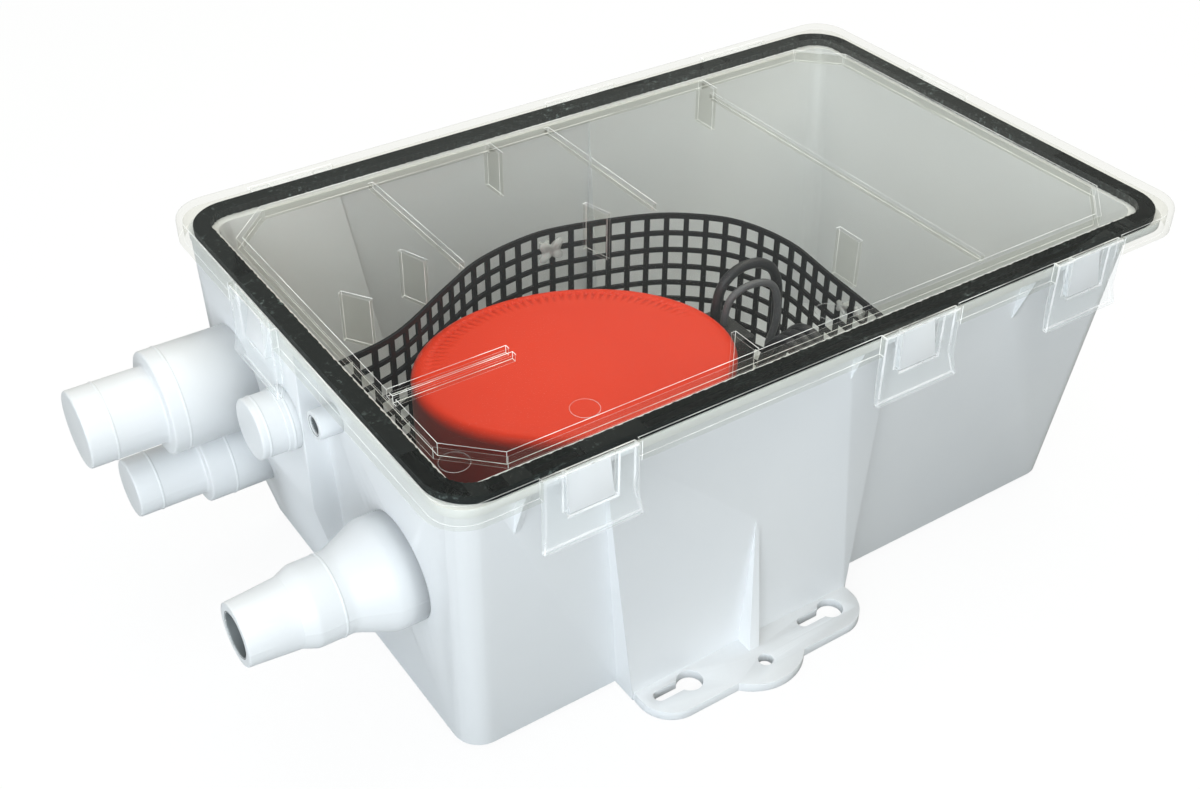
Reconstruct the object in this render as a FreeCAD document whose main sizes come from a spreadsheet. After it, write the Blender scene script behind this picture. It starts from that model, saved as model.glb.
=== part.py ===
import FreeCAD, Part
import math
import os

import Sketcher

# Shower sump with a bilge pump inside, true size in millimetres.
# The origin is at the middle of the tub's underside. +Z is up, +X runs along the tub away from the
# hose ports, and -Y is the long side with the mounting foot that faces the viewer.

DRIVING_SIZES = [
    # tub
    ("tub_half_length", 129.7, "half length of the tub at its base"),
    ("tub_half_width", 71.6, "half width of the tub at its base"),
    ("tub_height", 119.0, "top of the rim flange"),
    ("end_slope", 0.0537, "draft of the end walls, mm per mm"),
    ("side_slope", 0.11, "draft of the long walls, mm per mm"),
    ("corner_radius", 9.3, "upright corners of the tub"),
    ("wall", 2.5, "wall of the tub"),
    ("tub_floor", 3.0, "floor of the tub"),
    ("base_edge", 1.5, "bevel round the underside"),
    ("end_overhang", 5.65, "rim flange beyond the end walls"),
    ("side_overhang", 7.0, "rim flange beyond the long walls"),
    ("flange_thickness", 3.0, "rim flange"),
    ("flange_corner", 11.0, "corner of the rim flange"),
    # bay, foot and rib on each long side
    ("bay_left", 73.4, "left edge of the bay at the base, from the middle"),
    ("bay_left_slope", 0.137, "how the bay widens upwards on the left"),
    ("bay_right", 18.2, "right edge of the bay at the base"),
    ("bay_right_slope", 0.02, "how the bay widens upwards on the right"),
    ("bay_face", 80.9, "face of the bay at the base"),
    ("bay_face_slope", 0.035, "draft of the bay's face"),
    ("foot_thickness", 3.5, "foot plate"),
    ("foot_middle", -27.8, "middle of the foot along the tub"),
    ("foot_half_length", 45.4, "half length of the foot"),
    ("foot_reach", 96.8, "outer edge of the foot"),
    ("foot_corner", 12.0, "outer corners of the foot"),
    ("foot_bulge_radius", 19.0, "bulge round the middle hole"),
    ("foot_bulge_reach", 103.0, "outer edge of the bulge"),
    ("foot_hole_radius", 2.6, "middle screw hole"),
    ("foot_hole_reach", 93.3, "middle screw hole from the middle plane"),
    ("keyhole_reach", 86.7, "keyholes from the middle plane"),
    ("keyhole_spacing", 60.8, "from one keyhole to the next"),
    ("keyhole_first", -54.6, "head hole of the first keyhole"),
    ("keyhole_travel", 12.1, "from the head hole to the end of the slot"),
    ("keyhole_head_radius", 4.5, "hole for the screw's head"),
    ("keyhole_slot_radius", 2.2, "half width of the slot"),
    ("rib_height", 58.0, "top of the tapered rib on the bay"),
    ("rib_reach", 87.4, "foot of the tapered rib"),
    ("rib_thickness", 4.4, "tapered rib at its foot"),
    ("rib_tip_thickness", 1.4, "tapered rib at its top"),
    # pad that carries the inlet barbs
    ("pad_depth", 11.8, "face of the inlet pad beyond the end wall's foot"),
    ("pad_front", 3.0, "front edge of the inlet pad"),
    ("pad_bend", 55.0, "height where the pad's face turns upright"),
    ("pad_corner_inset", 2.4, "back edge of the pad inside the back wall"),
    # inlet barbs, closed until the user cuts them open
    ("large_inlet_y", 55.0, "large inlet"),
    ("large_inlet_drop", 41.7, "large inlet below the rim's top"),
    ("large_root_radius", 17.8, "large inlet, root"),
    ("large_root_length", 30.0, "large inlet, root"),
    ("large_tip_radius", 13.2, "large inlet, tip"),
    ("large_tip_length", 25.8, "large inlet, tip"),
    ("middle_inlet_y", 60.0, "middle inlet"),
    ("middle_inlet_drop", 75.7, "middle inlet below the rim's top"),
    ("middle_root_radius", 13.8, "middle inlet, root"),
    ("middle_root_length", 18.5, "middle inlet, root"),
    ("middle_tip_radius", 10.3, "middle inlet, tip"),
    ("middle_tip_length", 24.0, "middle inlet, tip"),
    ("small_inlet_y", 14.2, "small inlet"),
    ("small_inlet_drop", 33.5, "small inlet below the rim's top"),
    ("small_root_radius", 10.6, "small inlet, root"),
    ("small_root_length", 4.5, "small inlet, root"),
    ("small_tip_radius", 10.2, "small inlet, tip"),
    ("small_tip_length", 8.7, "small inlet, tip"),
    ("barb_edge", 1.0, "rounded edges of the barbs"),
    ("barb_root", 8.0, "how far the barbs reach back through the pad"),
    ("port_wall", 2.5, "wall of the barbs"),
    # vent nipple
    ("nipple_y", -9.0, "vent nipple"),
    ("nipple_drop", 22.0, "vent nipple below the rim's top"),
    ("nipple_radius", 4.8, "vent nipple"),
    ("nipple_bore", 3.0, "vent nipple, bore radius"),
    ("nipple_length", 7.6, "vent nipple beyond the wall"),
    # discharge port
    ("discharge_y", -40.8, "discharge port"),
    ("discharge_z", 60.1, "discharge port"),
    ("bell_radius", 18.2, "bell of the discharge port"),
    ("bell_length", 8.6, "straight part of the bell beyond the wall"),
    ("bell_cone_length", 12.5, "cone of the bell"),
    ("sleeve_radius", 13.2, "sleeve after the bell"),
    ("sleeve_length", 11.5, "sleeve after the bell"),
    ("shoulder_radius", 11.4, "foot of the hose barb"),
    ("shoulder_length", 4.5, "bevel between sleeve and barb"),
    ("barb_radius", 10.1, "tip of the hose barb"),
    ("barb_length", 16.7, "hose barb"),
    ("discharge_bore", 7.2, "bore of the hose barb"),
    ("valve_chamber", 12.5, "radius of the chamber of the check valve"),
    ("valve_chamber_length", 19.0, "chamber of the check valve beyond the wall's inner face"),
    ("valve_cone_length", 8.0, "from the chamber down to the bore"),
    # gasket and lid
    ("gasket_inset", 1.75, "gasket inside the rim's edge"),
    ("gasket_width", 5.6, "gasket"),
    ("gasket_thickness", 2.8, "gasket"),
    ("gasket_corner", 8.0, "outer corner of the gasket"),
    ("lid_clearance", 1.3, "between rim edge and skirt"),
    ("skirt_wall", 2.0, "wall of the lid's skirt"),
    ("skirt_drop", 6.8, "skirt below the lid's plate"),
    ("lid_plate", 2.5, "plate of the lid"),
    ("lid_corner", 13.0, "corner of the lid"),
    ("lid_edge", 2.0, "rounded top edge of the lid"),
    ("rim_gap", 1.8, "between the lid's rib and the tub's inside"),
    ("lid_rib_thickness", 1.8, "ribs under the lid"),
    ("mouth_rib_drop", 4.3, "rib that drops into the tub's mouth"),
    ("stiffener_drop", 2.5, "stiffening ribs under the lid"),
    ("rib_chamfer", 14.8, "cut corners of the rib in the mouth"),
    ("tab_drop", 17.8, "drop tabs under the lid"),
    ("tab_thickness", 1.6, "drop tabs"),
    ("tab_width", 11.0, "drop tabs"),
    # clips and catches
    ("clip_width", 31.0, "lid clip"),
    ("clip_window", 16.5, "window of the lid clip"),
    ("clip_thickness", 2.5, "lid clip"),
    ("clip_drop", 24.8, "lid clip"),
    ("clip_bar", 9.8, "bar at the foot of the clip"),
    ("clip_play", 0.4, "gap round the clip"),
    ("catch_width", 14.8, "catch on the rim"),
    ("catch_thickness", 2.2, "catch on the rim"),
    ("catch_lean", 2.4, "how far the catch leans out towards its foot"),
    ("fin_offset", 17.0, "fin beside each catch"),
    ("fin_thickness", 1.8, "fin under the rim"),
    ("fin_height", 22.0, "fin under the rim"),
    # filter screen
    ("screen_clearance", 10.5, "top of the filter strip below the rim's top"),
    ("screen_thickness", 1.6, "filter strip"),
    ("screen_pitch", 12.8, "columns of holes"),
    ("screen_row", 14.0, "rows of holes"),
    ("screen_bar", 2.4, "bars between the holes"),
    # pump housing
    ("pump_from_port_end", 71.4, "middle of the pump's oval from the end wall's foot"),
    ("pump_y", -24.4, "middle of the pump's oval"),
    ("pump_turn", -18.0, "turn of the pump's oval"),
    ("pump_half_length", 51.0, "oval cap"),
    ("pump_half_width", 40.0, "oval cap"),
    ("cap_bottom", 31.0, "underside of the cap"),
    ("cap_top", 98.0, "top of the cap"),
    ("cap_wall", 2.5, "wall of the cap"),
    ("cap_edge", 8.0, "rounded top edge of the cap"),
    ("base_step", 1.8, "strainer base beyond the cap"),
    ("deck_thickness", 3.0, "deck between cap and strainer base"),
    ("seal_inset", 0.6, "housing seal inside the cap's edge"),
    ("seal_width", 1.3, "housing seal"),
    ("seal_depth", 1.2, "groove of the housing seal"),
    ("strainer_wall", 2.2, "wall of the strainer base"),
    ("strainer_floor", 2.5, "floor of the strainer base"),
    ("slot_width", 3.2, "slots of the strainer base"),
    ("slot_count", 14, "pairs of slots of the strainer base"),
    # volute, impeller, motor
    ("motor_from_pump", 18.7, "axis of the motor from the pump's middle"),
    ("motor_y", -23.6, "axis of the motor"),
    ("volute_radius", 22.5, "inside of the volute"),
    ("volute_wall", 2.0, "wall of the volute"),
    ("volute_depth", 15.0, "volute below the deck"),
    ("eye_radius", 9.5, "eye of the volute"),
    ("spout_z", 19.0, "outlet spout"),
    ("spout_radius", 6.2, "outlet spout"),
    ("spout_bore", 4.5, "outlet spout"),
    ("spout_from_port_end", 23.7, "end of the outlet spout from the end wall's foot"),
    ("impeller_radius", 19.0, "impeller"),
    ("impeller_gap", 2.0, "above and below the impeller"),
    ("impeller_disc", 2.0, "disc of the impeller"),
    ("vane_thickness", 1.6, "vanes of the impeller"),
    ("vane_count", 6, "vanes of the impeller"),
    ("shaft_radius", 1.6, "motor shaft"),
    ("running_gap", 0.05, "running fits"),
    ("seal_radius", 7.0, "shaft seal"),
    ("spigot_height", 3.0, "seat of the motor on the deck"),
    ("can_radius", 26.0, "motor can"),
    ("can_wall", 1.2, "motor can"),
    ("can_height", 51.5, "motor can"),
    ("end_plate", 3.0, "end plate of the motor"),
    ("bush_radius", 4.5, "bushes of the motor"),
    ("bush_length", 5.0, "bushes of the motor"),
    ("magnet_thickness", 3.0, "magnets"),
    ("magnet_angle", 150.0, "arc of each magnet"),
    ("air_gap", 0.8, "between magnet and armature"),
    ("winding_end", 4.0, "winding beyond the laminations"),
    ("commutator_radius", 6.5, "commutator"),
    ("commutator_length", 4.8, "commutator"),
    ("stack_gap", 0.4, "play between the pieces stacked on the shaft"),
    ("brush_size", 4.0, "carbon brushes"),
    ("brush_length", 6.0, "carbon brushes"),
    # float and its switch
    ("float_from_pump", 13.3, "float pin from the pump's middle"),
    ("float_pivot_y", -26.0, "middle of the float pin"),
    ("float_pivot_z", 36.0, "float pin"),
    ("float_pin_radius", 1.5, "float pin"),
    ("float_pin_length", 22.0, "float pin"),
    ("float_length", 19.0, "float"),
    ("float_width", 18.0, "float"),
    ("float_depth", 18.0, "float"),
    ("float_gap", 6.0, "from the pin to the float"),
    ("float_sink", 12.0, "float below its pin"),
    ("ear_thickness", 2.0, "ears of the float pin"),
    ("switch_width", 10.0, "float switch"),
    ("switch_depth", 14.0, "float switch"),
    ("switch_bottom", 56.0, "float switch"),
    # riser, check valve
    ("riser_from_port_end", 11.7, "riser between pump and discharge port"),
    ("riser_radius", 8.0, "riser"),
    ("riser_bore", 6.2, "riser"),
    ("riser_bend", 10.0, "bends of the riser"),
    ("socket_wall", 2.2, "socket over the spout"),
    ("socket_length", 5.2, "socket over the spout"),
    ("socket_ring", 0.7, "section of the o-ring in the socket"),
    ("seat_length", 5.5, "seat of the check valve"),
    ("seat_inset", 2.0, "seat from the wall's inner face"),
    ("seat_socket", 2.0, "how deep the riser sits in the seat"),
    ("ring_radius", 0.9, "o-ring section"),
    ("flap_radius", 8.2, "flap of the check valve"),
    ("flap_thickness", 1.5, "flap of the check valve"),
    ("flap_gap", 0.3, "flap from its seat"),
    ("flap_pivot", 9.6, "flap pin above the port's axis"),
    ("flap_pin_radius", 0.8, "flap pin"),
    ("knuckle_radius", 1.5, "knuckle of the flap"),
    # gland and lead
    ("gland_from_pump", 49.8, "inner end of the cable gland from the pump's middle"),
    ("gland_y", -29.0, "middle of the cable gland"),
    ("gland_z", 78.0, "underside of the cable gland"),
    ("gland_length", 13.0, "cable gland"),
    ("gland_width", 20.0, "cable gland"),
    ("gland_height", 14.0, "cable gland"),
    ("lead_radius", 1.8, "power lead"),
    ("second_radius", 1.3, "second lead"),
    ("lead_headroom", 12.5, "top of the lead's loop below the lid's plate"),
    ("lead_reach", 10.4, "level top of the lead's loop"),
    ("coil_from_pump", 64.8, "near side of the coil of lead from the pump's middle"),
    ("coil_thickness", 17.0, "coil of lead"),
    ("coil_y", -50.0, "middle of the coil of lead"),
    ("coil_half_width", 19.0, "coil of lead"),
    ("coil_height", 86.0, "coil of lead"),
    ("coil_section", 8.5, "turns side by side in the coil"),
]

document = FreeCAD.newDocument("ShowerSumpPump")
sheet = document.addObject("Spreadsheet::Sheet", "Sizes")


class Size:
    """A length that carries its present value and the formula that keeps an object tied to it."""

    def __init__(self, value, text):
        self.value = float(value)
        self.text = text

    def joined(self, sign, other, value, turned_round=False):
        left, right = (formula(other), self.text) if turned_round else (self.text, formula(other))
        return Size(value, "(" + left + " " + sign + " " + right + ")")

    def __add__(self, other):
        return self.joined("+", other, self.value + number(other))

    def __radd__(self, other):
        return self.joined("+", other, number(other) + self.value, True)

    def __sub__(self, other):
        return self.joined("-", other, self.value - number(other))

    def __rsub__(self, other):
        return self.joined("-", other, number(other) - self.value, True)

    def __mul__(self, other):
        return self.joined("*", other, self.value * number(other))

    def __rmul__(self, other):
        return self.joined("*", other, number(other) * self.value, True)

    def __truediv__(self, other):
        return self.joined("/", other, self.value / number(other))

    def __neg__(self):
        return Size(-self.value, "(0 - " + self.text + ")")


def number(length):
    """The present value of a Size, or of a plain number."""
    return length.value if isinstance(length, Size) else float(length)


def formula(length):
    """The formula of a Size, or a plain number as text."""
    return length.text if isinstance(length, Size) else "(" + repr(float(length)) + ")"


class NamedSizes:
    """The driving sizes, each under its own name."""


size = NamedSizes()
for row, (name, value, meaning) in enumerate(DRIVING_SIZES, start=1):
    sheet.set("A%d" % row, str(value))
    sheet.setAlias("A%d" % row, name)
    sheet.set("B%d" % row, meaning)
    setattr(size, name, Size(value, "Sizes." + name))
document.recompute()

# Sizes that follow from the driving ones. What belongs to the pump keeps its distance from the port end.
size.pad_reach = size.tub_half_length + size.pad_depth
size.large_inlet_z = size.tub_height - size.large_inlet_drop
size.middle_inlet_z = size.tub_height - size.middle_inlet_drop
size.small_inlet_z = size.tub_height - size.small_inlet_drop
size.nipple_z = size.tub_height - size.nipple_drop
size.screen_height = size.tub_height - size.tub_floor - size.screen_clearance
size.pump_x = size.pump_from_port_end - size.tub_half_length
size.motor_x = size.pump_x - size.motor_from_pump
size.float_pivot_x = size.pump_x + size.float_from_pump
size.gland_x = size.pump_x + size.gland_from_pump
size.coil_x = size.pump_x + size.coil_from_pump
size.riser_x = size.riser_from_port_end - size.tub_half_length
size.spout_end = size.tub_half_length - size.spout_from_port_end
top_half_length = size.tub_half_length + size.end_slope * size.tub_height
top_half_width = size.tub_half_width + size.side_slope * size.tub_height
rim_half_length = top_half_length + size.end_overhang
rim_half_width = top_half_width + size.side_overhang
gasket_half_length = rim_half_length - size.gasket_inset
gasket_half_width = rim_half_width - size.gasket_inset
lid_half_length = rim_half_length + size.lid_clearance + size.skirt_wall
lid_half_width = rim_half_width + size.lid_clearance + size.skirt_wall
plate_bottom = size.tub_height + size.gasket_thickness
lid_top = plate_bottom + size.lid_plate
clip_top = plate_bottom - size.clip_play * 1.5
clip_bottom = clip_top - size.clip_drop
catch_bottom = clip_bottom + size.clip_bar + size.clip_play
deck_bottom = size.cap_bottom - size.deck_thickness
can_bottom = size.cap_bottom + size.spigot_height
can_top = can_bottom + size.can_height
cap_ceiling = size.cap_top - size.cap_wall - 2.0
OVERLAP = 1.0
FAR = 400.0

# Directions for turned, drilled and extruded shapes, whose own axis is +Z.
TURNS = {
    "+z": FreeCAD.Rotation(),
    "-z": FreeCAD.Rotation(FreeCAD.Vector(1, 0, 0), 180),
    "+x": FreeCAD.Rotation(FreeCAD.Vector(0, 1, 0), 90),
    "-x": FreeCAD.Rotation(FreeCAD.Vector(0, 1, 0), -90),
    "+y": FreeCAD.Rotation(FreeCAD.Vector(1, 0, 0), -90),
    "-y": FreeCAD.Rotation(FreeCAD.Vector(1, 0, 0), 90),
}


def place(thing, at, rotation=None):
    """Put an object at a point whose coordinates may be tied to the sheet."""
    rotation = rotation or FreeCAD.Rotation()
    thing.Placement = FreeCAD.Placement(FreeCAD.Vector(*[number(c) for c in at]), rotation)
    for axis, coordinate in zip("xyz", at):
        if isinstance(coordinate, Size):
            thing.setExpression("Placement.Base." + axis, coordinate.text)
    return thing


def tie(thing, **lengths):
    """Set an object's sizes, tied to the sheet where they come from it."""
    for name, length in lengths.items():
        setattr(thing, name, number(length))
        if isinstance(length, Size):
            thing.setExpression(name, length.text)
    return thing


def box(name, low, high):
    """A block between two corners."""
    block = document.addObject("Part::Box", name)
    tie(block, Length=high[0] - low[0], Width=high[1] - low[1], Height=high[2] - low[2])
    return place(block, low)


def rod(name, radius, length, at, along="+z", angle=360.0):
    """A round bar from a point along an axis."""
    bar = document.addObject("Part::Cylinder", name)
    tie(bar, Radius=radius, Height=length, Angle=angle)
    return place(bar, at, TURNS[along])


def taper(name, bottom, top, low, high):
    """A block with its own rectangle (x0, x1, y0, y1) at its bottom and at its top."""
    block = document.addObject("Part::Wedge", name)
    tie(block, Xmin=bottom[0], Xmax=bottom[1], Zmin=-1 * bottom[3], Zmax=-1 * bottom[2], Ymin=low)
    tie(block, X2min=top[0], X2max=top[1], Z2min=-1 * top[3], Z2max=-1 * top[2], Ymax=high)
    block.Placement = FreeCAD.Placement(FreeCAD.Vector(), TURNS["-y"])
    return block


def corner_sketch(name, corners):
    """A closed outline whose every corner is tied to its two lengths."""
    sketch = document.addObject("Sketcher::SketchObject", name)
    points = [FreeCAD.Vector(number(x), number(y), 0) for x, y in corners]
    count = len(points)
    for i in range(count):
        sketch.addGeometry(Part.LineSegment(points[i], points[(i + 1) % count]), False)
    for i in range(count):
        sketch.addConstraint(Sketcher.Constraint("Coincident", i, 2, (i + 1) % count, 1))
    for i, corner in enumerate(corners):
        for kind, length in zip(("DistanceX", "DistanceY"), corner):
            index = sketch.addConstraint(Sketcher.Constraint(kind, -1, 1, i, 1, number(length)))
            if isinstance(length, Size):
                sketch.setExpression("Constraints[%d]" % index, length.text)
    return sketch


def rounded_sketch(name, half_x, half_y, corner, z=0.0, middle=(0.0, 0.0)):
    """A rectangle with round corners, its middle at a point and its half sides tied to the sheet."""
    sketch = document.addObject("Sketcher::SketchObject", name)
    a, b, r = number(half_x), number(half_y), number(corner)
    ends = [(-a + r, -b, a - r, -b), (a, -b + r, a, b - r), (a - r, b, -a + r, b), (-a, b - r, -a, -b + r)]
    for x0, y0, x1, y1 in ends:
        sketch.addGeometry(Part.LineSegment(FreeCAD.Vector(x0, y0, 0), FreeCAD.Vector(x1, y1, 0)), False)
    centres = [(a - r, -b + r, -90), (a - r, b - r, 0), (-a + r, b - r, 90), (-a + r, -b + r, 180)]
    up = FreeCAD.Vector(0, 0, 1)
    for x, y, start in centres:
        circle = Part.Circle(FreeCAD.Vector(x, y, 0), up, r)
        first = math.radians(start)
        sketch.addGeometry(Part.ArcOfCircle(circle, first, first + math.pi / 2), False)
    for i in range(4):
        sketch.addConstraint(Sketcher.Constraint("Tangent", i, 2, 4 + i, 1))
        sketch.addConstraint(Sketcher.Constraint("Tangent", 4 + i, 2, (i + 1) % 4, 1))
    for i, kind in enumerate(("Horizontal", "Vertical", "Horizontal", "Vertical")):
        sketch.addConstraint(Sketcher.Constraint(kind, i))
    sides = (("DistanceY", 0, -1 * half_y), ("DistanceX", 1, half_x),
             ("DistanceY", 2, half_y), ("DistanceX", 3, -1 * half_x))
    for kind, side, length in sides:
        index = sketch.addConstraint(Sketcher.Constraint(kind, -1, 1, side, 1, number(length)))
        sketch.setExpression("Constraints[%d]" % index, formula(length))
    for i in range(4):
        index = sketch.addConstraint(Sketcher.Constraint("Radius", 4 + i, r))
        sketch.setExpression("Constraints[%d]" % index, formula(corner))
    return place(sketch, (middle[0], middle[1], z))


def extruded(name, sketch, height):
    """A sketch drawn out square to its plane."""
    solid = document.addObject("Part::Extrusion", name)
    solid.Base = sketch
    solid.DirMode = "Normal"
    solid.Solid = True
    return tie(solid, LengthFwd=height)


def rounded_plate(name, half_x, half_y, corner, low, high, middle=(0.0, 0.0)):
    """A flat plate with round corners between two heights."""
    sketch = rounded_sketch(name + "_outline", half_x, half_y, corner, low, middle)
    return extruded(name, sketch, high - low)


def drafted(name, sections):
    """A solid with straight sides through rounded rectangles (half x, half y, corner, height)."""
    outlines = [rounded_sketch(name + "_section_%d" % i, *section) for i, section in enumerate(sections)]
    solid = document.addObject("Part::Loft", name)
    solid.Sections = outlines
    solid.Solid = True
    solid.Ruled = True
    return solid


def turned(name, profile, at, along="+z"):
    """A profile of (distance along the axis, radius) corners, turned about that axis."""
    sketch = corner_sketch(name + "_profile", [(radius, distance) for distance, radius in profile])
    sketch.Placement = FreeCAD.Placement(FreeCAD.Vector(), FreeCAD.Rotation(FreeCAD.Vector(1, 0, 0), 90))
    solid = document.addObject("Part::Revolution", name)
    solid.Source = sketch
    solid.Axis = FreeCAD.Vector(0, 0, 1)
    solid.Angle = 360.0
    solid.Solid = True
    return place(solid, at, TURNS[along])


def oval(name, inset, low, high):
    """A slice of the pump's oval between two heights, smaller than the cap by an inset."""
    ring = document.addObject("Part::Ellipse", name + "_outline")
    tie(ring, MajorRadius=size.pump_half_length - inset, MinorRadius=size.pump_half_width - inset)
    place(ring, (size.pump_x, size.pump_y, low), FreeCAD.Rotation(FreeCAD.Vector(0, 0, 1), number(size.pump_turn)))
    return extruded(name, ring, high - low)


def fused(name, parts):
    """Several shapes joined into one solid."""
    joined = document.addObject("Part::MultiFuse", name)
    joined.Shapes = parts
    return joined


def cut(name, base, tools):
    """A shape with others taken out of it."""
    tool = tools[0] if len(tools) == 1 else fused(name + "_tools", tools)
    left = document.addObject("Part::Cut", name)
    left.Base = base
    left.Tool = tool
    return left


def mirrored(name, source, normal):
    """A shape mirrored in a plane through the origin."""
    other = document.addObject("Part::Mirroring", name)
    other.Source = source
    other.Normal = FreeCAD.Vector(*normal)
    return other


def rounded_edges(name, base, radius, wanted):
    """A shape with the edges that a test picks out rounded."""
    document.recompute()
    edges = [i + 1 for i, edge in enumerate(base.Shape.Edges) if wanted(edge)]
    soft = document.addObject("Part::Fillet", name)
    soft.Base = base
    soft.Edges = [(i, number(radius), number(radius)) for i in edges]
    return soft


def end_x(z):
    """Outer face of an end wall at a height."""
    return size.tub_half_length + size.end_slope * z


def side_y(z):
    """Outer face of a long wall at a height."""
    return size.tub_half_width + size.side_slope * z


KEPT = []


def keep(thing, label):
    """Name a finished piece of the assembly."""
    thing.Label = label
    KEPT.append(thing)
    return thing


# The drafted box of the tub, and the space inside it.
def tub_walls():
    bevel = size.base_edge
    low = (size.tub_half_length - bevel, size.tub_half_width - bevel, size.corner_radius - bevel, 0.0)
    edge = (end_x(bevel), side_y(bevel), size.corner_radius, bevel)
    high = (top_half_length, top_half_width, size.corner_radius, size.tub_height)
    return drafted("tub_walls", [low, edge, high])


def tub_space():
    above = size.tub_height + OVERLAP
    inner_corner = size.corner_radius - size.wall
    low = (end_x(size.tub_floor) - size.wall, side_y(size.tub_floor) - size.wall, inner_corner, size.tub_floor)
    high = (end_x(above) - size.wall, side_y(above) - size.wall, inner_corner, above)
    return drafted("tub_space", [low, high])


# The bay that stands proud of a long wall, drawn for the front.
def bay_block(name, inset, low, high):
    def rectangle(z):
        left = -1 * size.bay_left - size.bay_left_slope * z + inset
        right = size.bay_right + size.bay_right_slope * z - inset
        face = -1 * size.bay_face - size.bay_face_slope * z + inset
        return left, right, face, -1 * size.tub_half_width + 2 * size.wall
    return taper(name, rectangle(low), rectangle(high), low, high)


# The pad on the end wall that carries the inlets: it leans in below and stands upright above.
def pad_block(name, inset, low, high):
    front = size.pad_front + inset

    def back(z):
        return side_y(z) - size.pad_corner_inset - inset

    def root(z):
        return -1 * end_x(z) + 2 * size.wall

    bend = size.pad_bend
    lean_low = (-1 * end_x(low) + inset, root(low), front, back(low))
    upright = (-1 * size.pad_reach + inset, root(bend), front, back(bend))
    upright_top = (-1 * size.pad_reach + inset, root(high), front, back(high))
    lower = taper(name + "_lower", lean_low, upright, low, bend)
    upper = taper(name + "_upper", upright, upright_top, bend, high)
    return fused(name, [lower, upper])


# An inlet barb: a stepped plug with a closed end, and the space inside it. Both start inside the pad.
def inlet(name, y, z, root_radius, root_length, tip_radius, tip_length):
    start = size.wall + size.barb_root
    step = start + root_length
    end = step + tip_length
    edge = size.barb_edge
    at = (-1 * size.pad_reach + start, y, z)
    outside = turned(name + "_outside", [(0, 0), (0, root_radius), (step - edge, root_radius),
                                         (step, root_radius - edge), (step, tip_radius), (end - edge, tip_radius),
                                         (end, tip_radius - edge), (end, 0)], at, "-x")
    wall = size.port_wall
    inside = turned(name + "_space", [(-OVERLAP, 0), (-OVERLAP, root_radius - wall), (step - wall, root_radius - wall),
                                      (step, tip_radius - wall), (end - wall, tip_radius - wall),
                                      (end - wall, 0)], at, "-x")
    return outside, inside


def nipple():
    at = (-1 * end_x(size.nipple_z) + size.wall, size.nipple_y, size.nipple_z)
    length = size.wall + size.nipple_length
    outside = rod("nipple", size.nipple_radius, length, at, "-x")
    back = (at[0] + OVERLAP * 2, at[1], at[2])
    inside = rod("nipple_space", size.nipple_bore, length + OVERLAP * 3, back, "-x")
    return outside, inside


# The discharge port: bell, cone, sleeve and hose barb, with the chamber of the check valve inside.
discharge_face = -1 * end_x(size.discharge_z)
discharge_inner = discharge_face + size.wall


def discharge_port():
    at = (discharge_inner, size.discharge_y, size.discharge_z)
    bell = size.wall + size.bell_length
    cone = bell + size.bell_cone_length
    sleeve = cone + size.sleeve_length
    shoulder = sleeve + size.shoulder_length
    tip = shoulder + size.barb_length
    outside = turned("discharge", [(0, 0), (0, size.bell_radius), (bell, size.bell_radius), (cone, size.sleeve_radius),
                                   (sleeve, size.sleeve_radius), (shoulder, size.shoulder_radius),
                                   (tip, size.barb_radius), (tip, 0)], at, "-x")
    chamber = size.valve_chamber_length
    neck = chamber + size.valve_cone_length
    inside = turned("discharge_space", [(-2 * OVERLAP, 0), (-2 * OVERLAP, size.valve_chamber),
                                        (chamber, size.valve_chamber), (neck, size.discharge_bore),
                                        (tip + OVERLAP, size.discharge_bore), (tip + OVERLAP, 0)], at, "-x")
    return outside, inside


# The foot of a long side, drawn for the front: plate, bulge and tapered rib, and its holes.
def foot():
    half_depth = 12.8
    plate = rounded_plate("foot_plate", size.foot_half_length, half_depth, size.foot_corner, 0.0,
                          size.foot_thickness, (size.foot_middle, -1 * size.foot_reach + half_depth))
    bulge = rod("foot_bulge", size.foot_bulge_radius, size.foot_thickness,
                (size.foot_middle, -1 * size.foot_bulge_reach + size.foot_bulge_radius, 0.0))
    half, tip = size.rib_thickness / 2, size.rib_tip_thickness / 2
    root = -1 * size.bay_face + size.wall / 2
    middle = size.foot_middle
    rib = taper("foot_rib", (middle - half, middle + half, -1 * size.rib_reach, root),
                (middle - tip, middle + tip, -1 * size.bay_face - size.bay_face_slope * size.rib_height, root),
                size.base_edge, size.rib_height)
    return [plate, bulge, rib]


def foot_holes():
    depth = size.foot_thickness + 2 * OVERLAP
    tools = [rod("foot_hole", size.foot_hole_radius, depth, (size.foot_middle, -1 * size.foot_hole_reach, -OVERLAP))]
    for i in range(2):
        x = size.keyhole_first + i * size.keyhole_spacing
        y = -1 * size.keyhole_reach
        end = x - size.keyhole_travel
        slot = size.keyhole_slot_radius
        tools.append(rod("keyhole_head_%d" % i, size.keyhole_head_radius, depth, (x, y, -OVERLAP)))
        tools.append(rod("keyhole_end_%d" % i, slot, depth, (end, y, -OVERLAP)))
        tools.append(box("keyhole_slot_%d" % i, (end, y - slot, -OVERLAP), (x, y + slot, depth - OVERLAP)))
    return tools


# Clips and catches: on the front and back at three places, and one at each end.
SIDE_CLIPS = (("left", -99.0), ("middle", 22.0), ("right", 96.5))
END_CLIP_Y = 26.0


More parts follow.
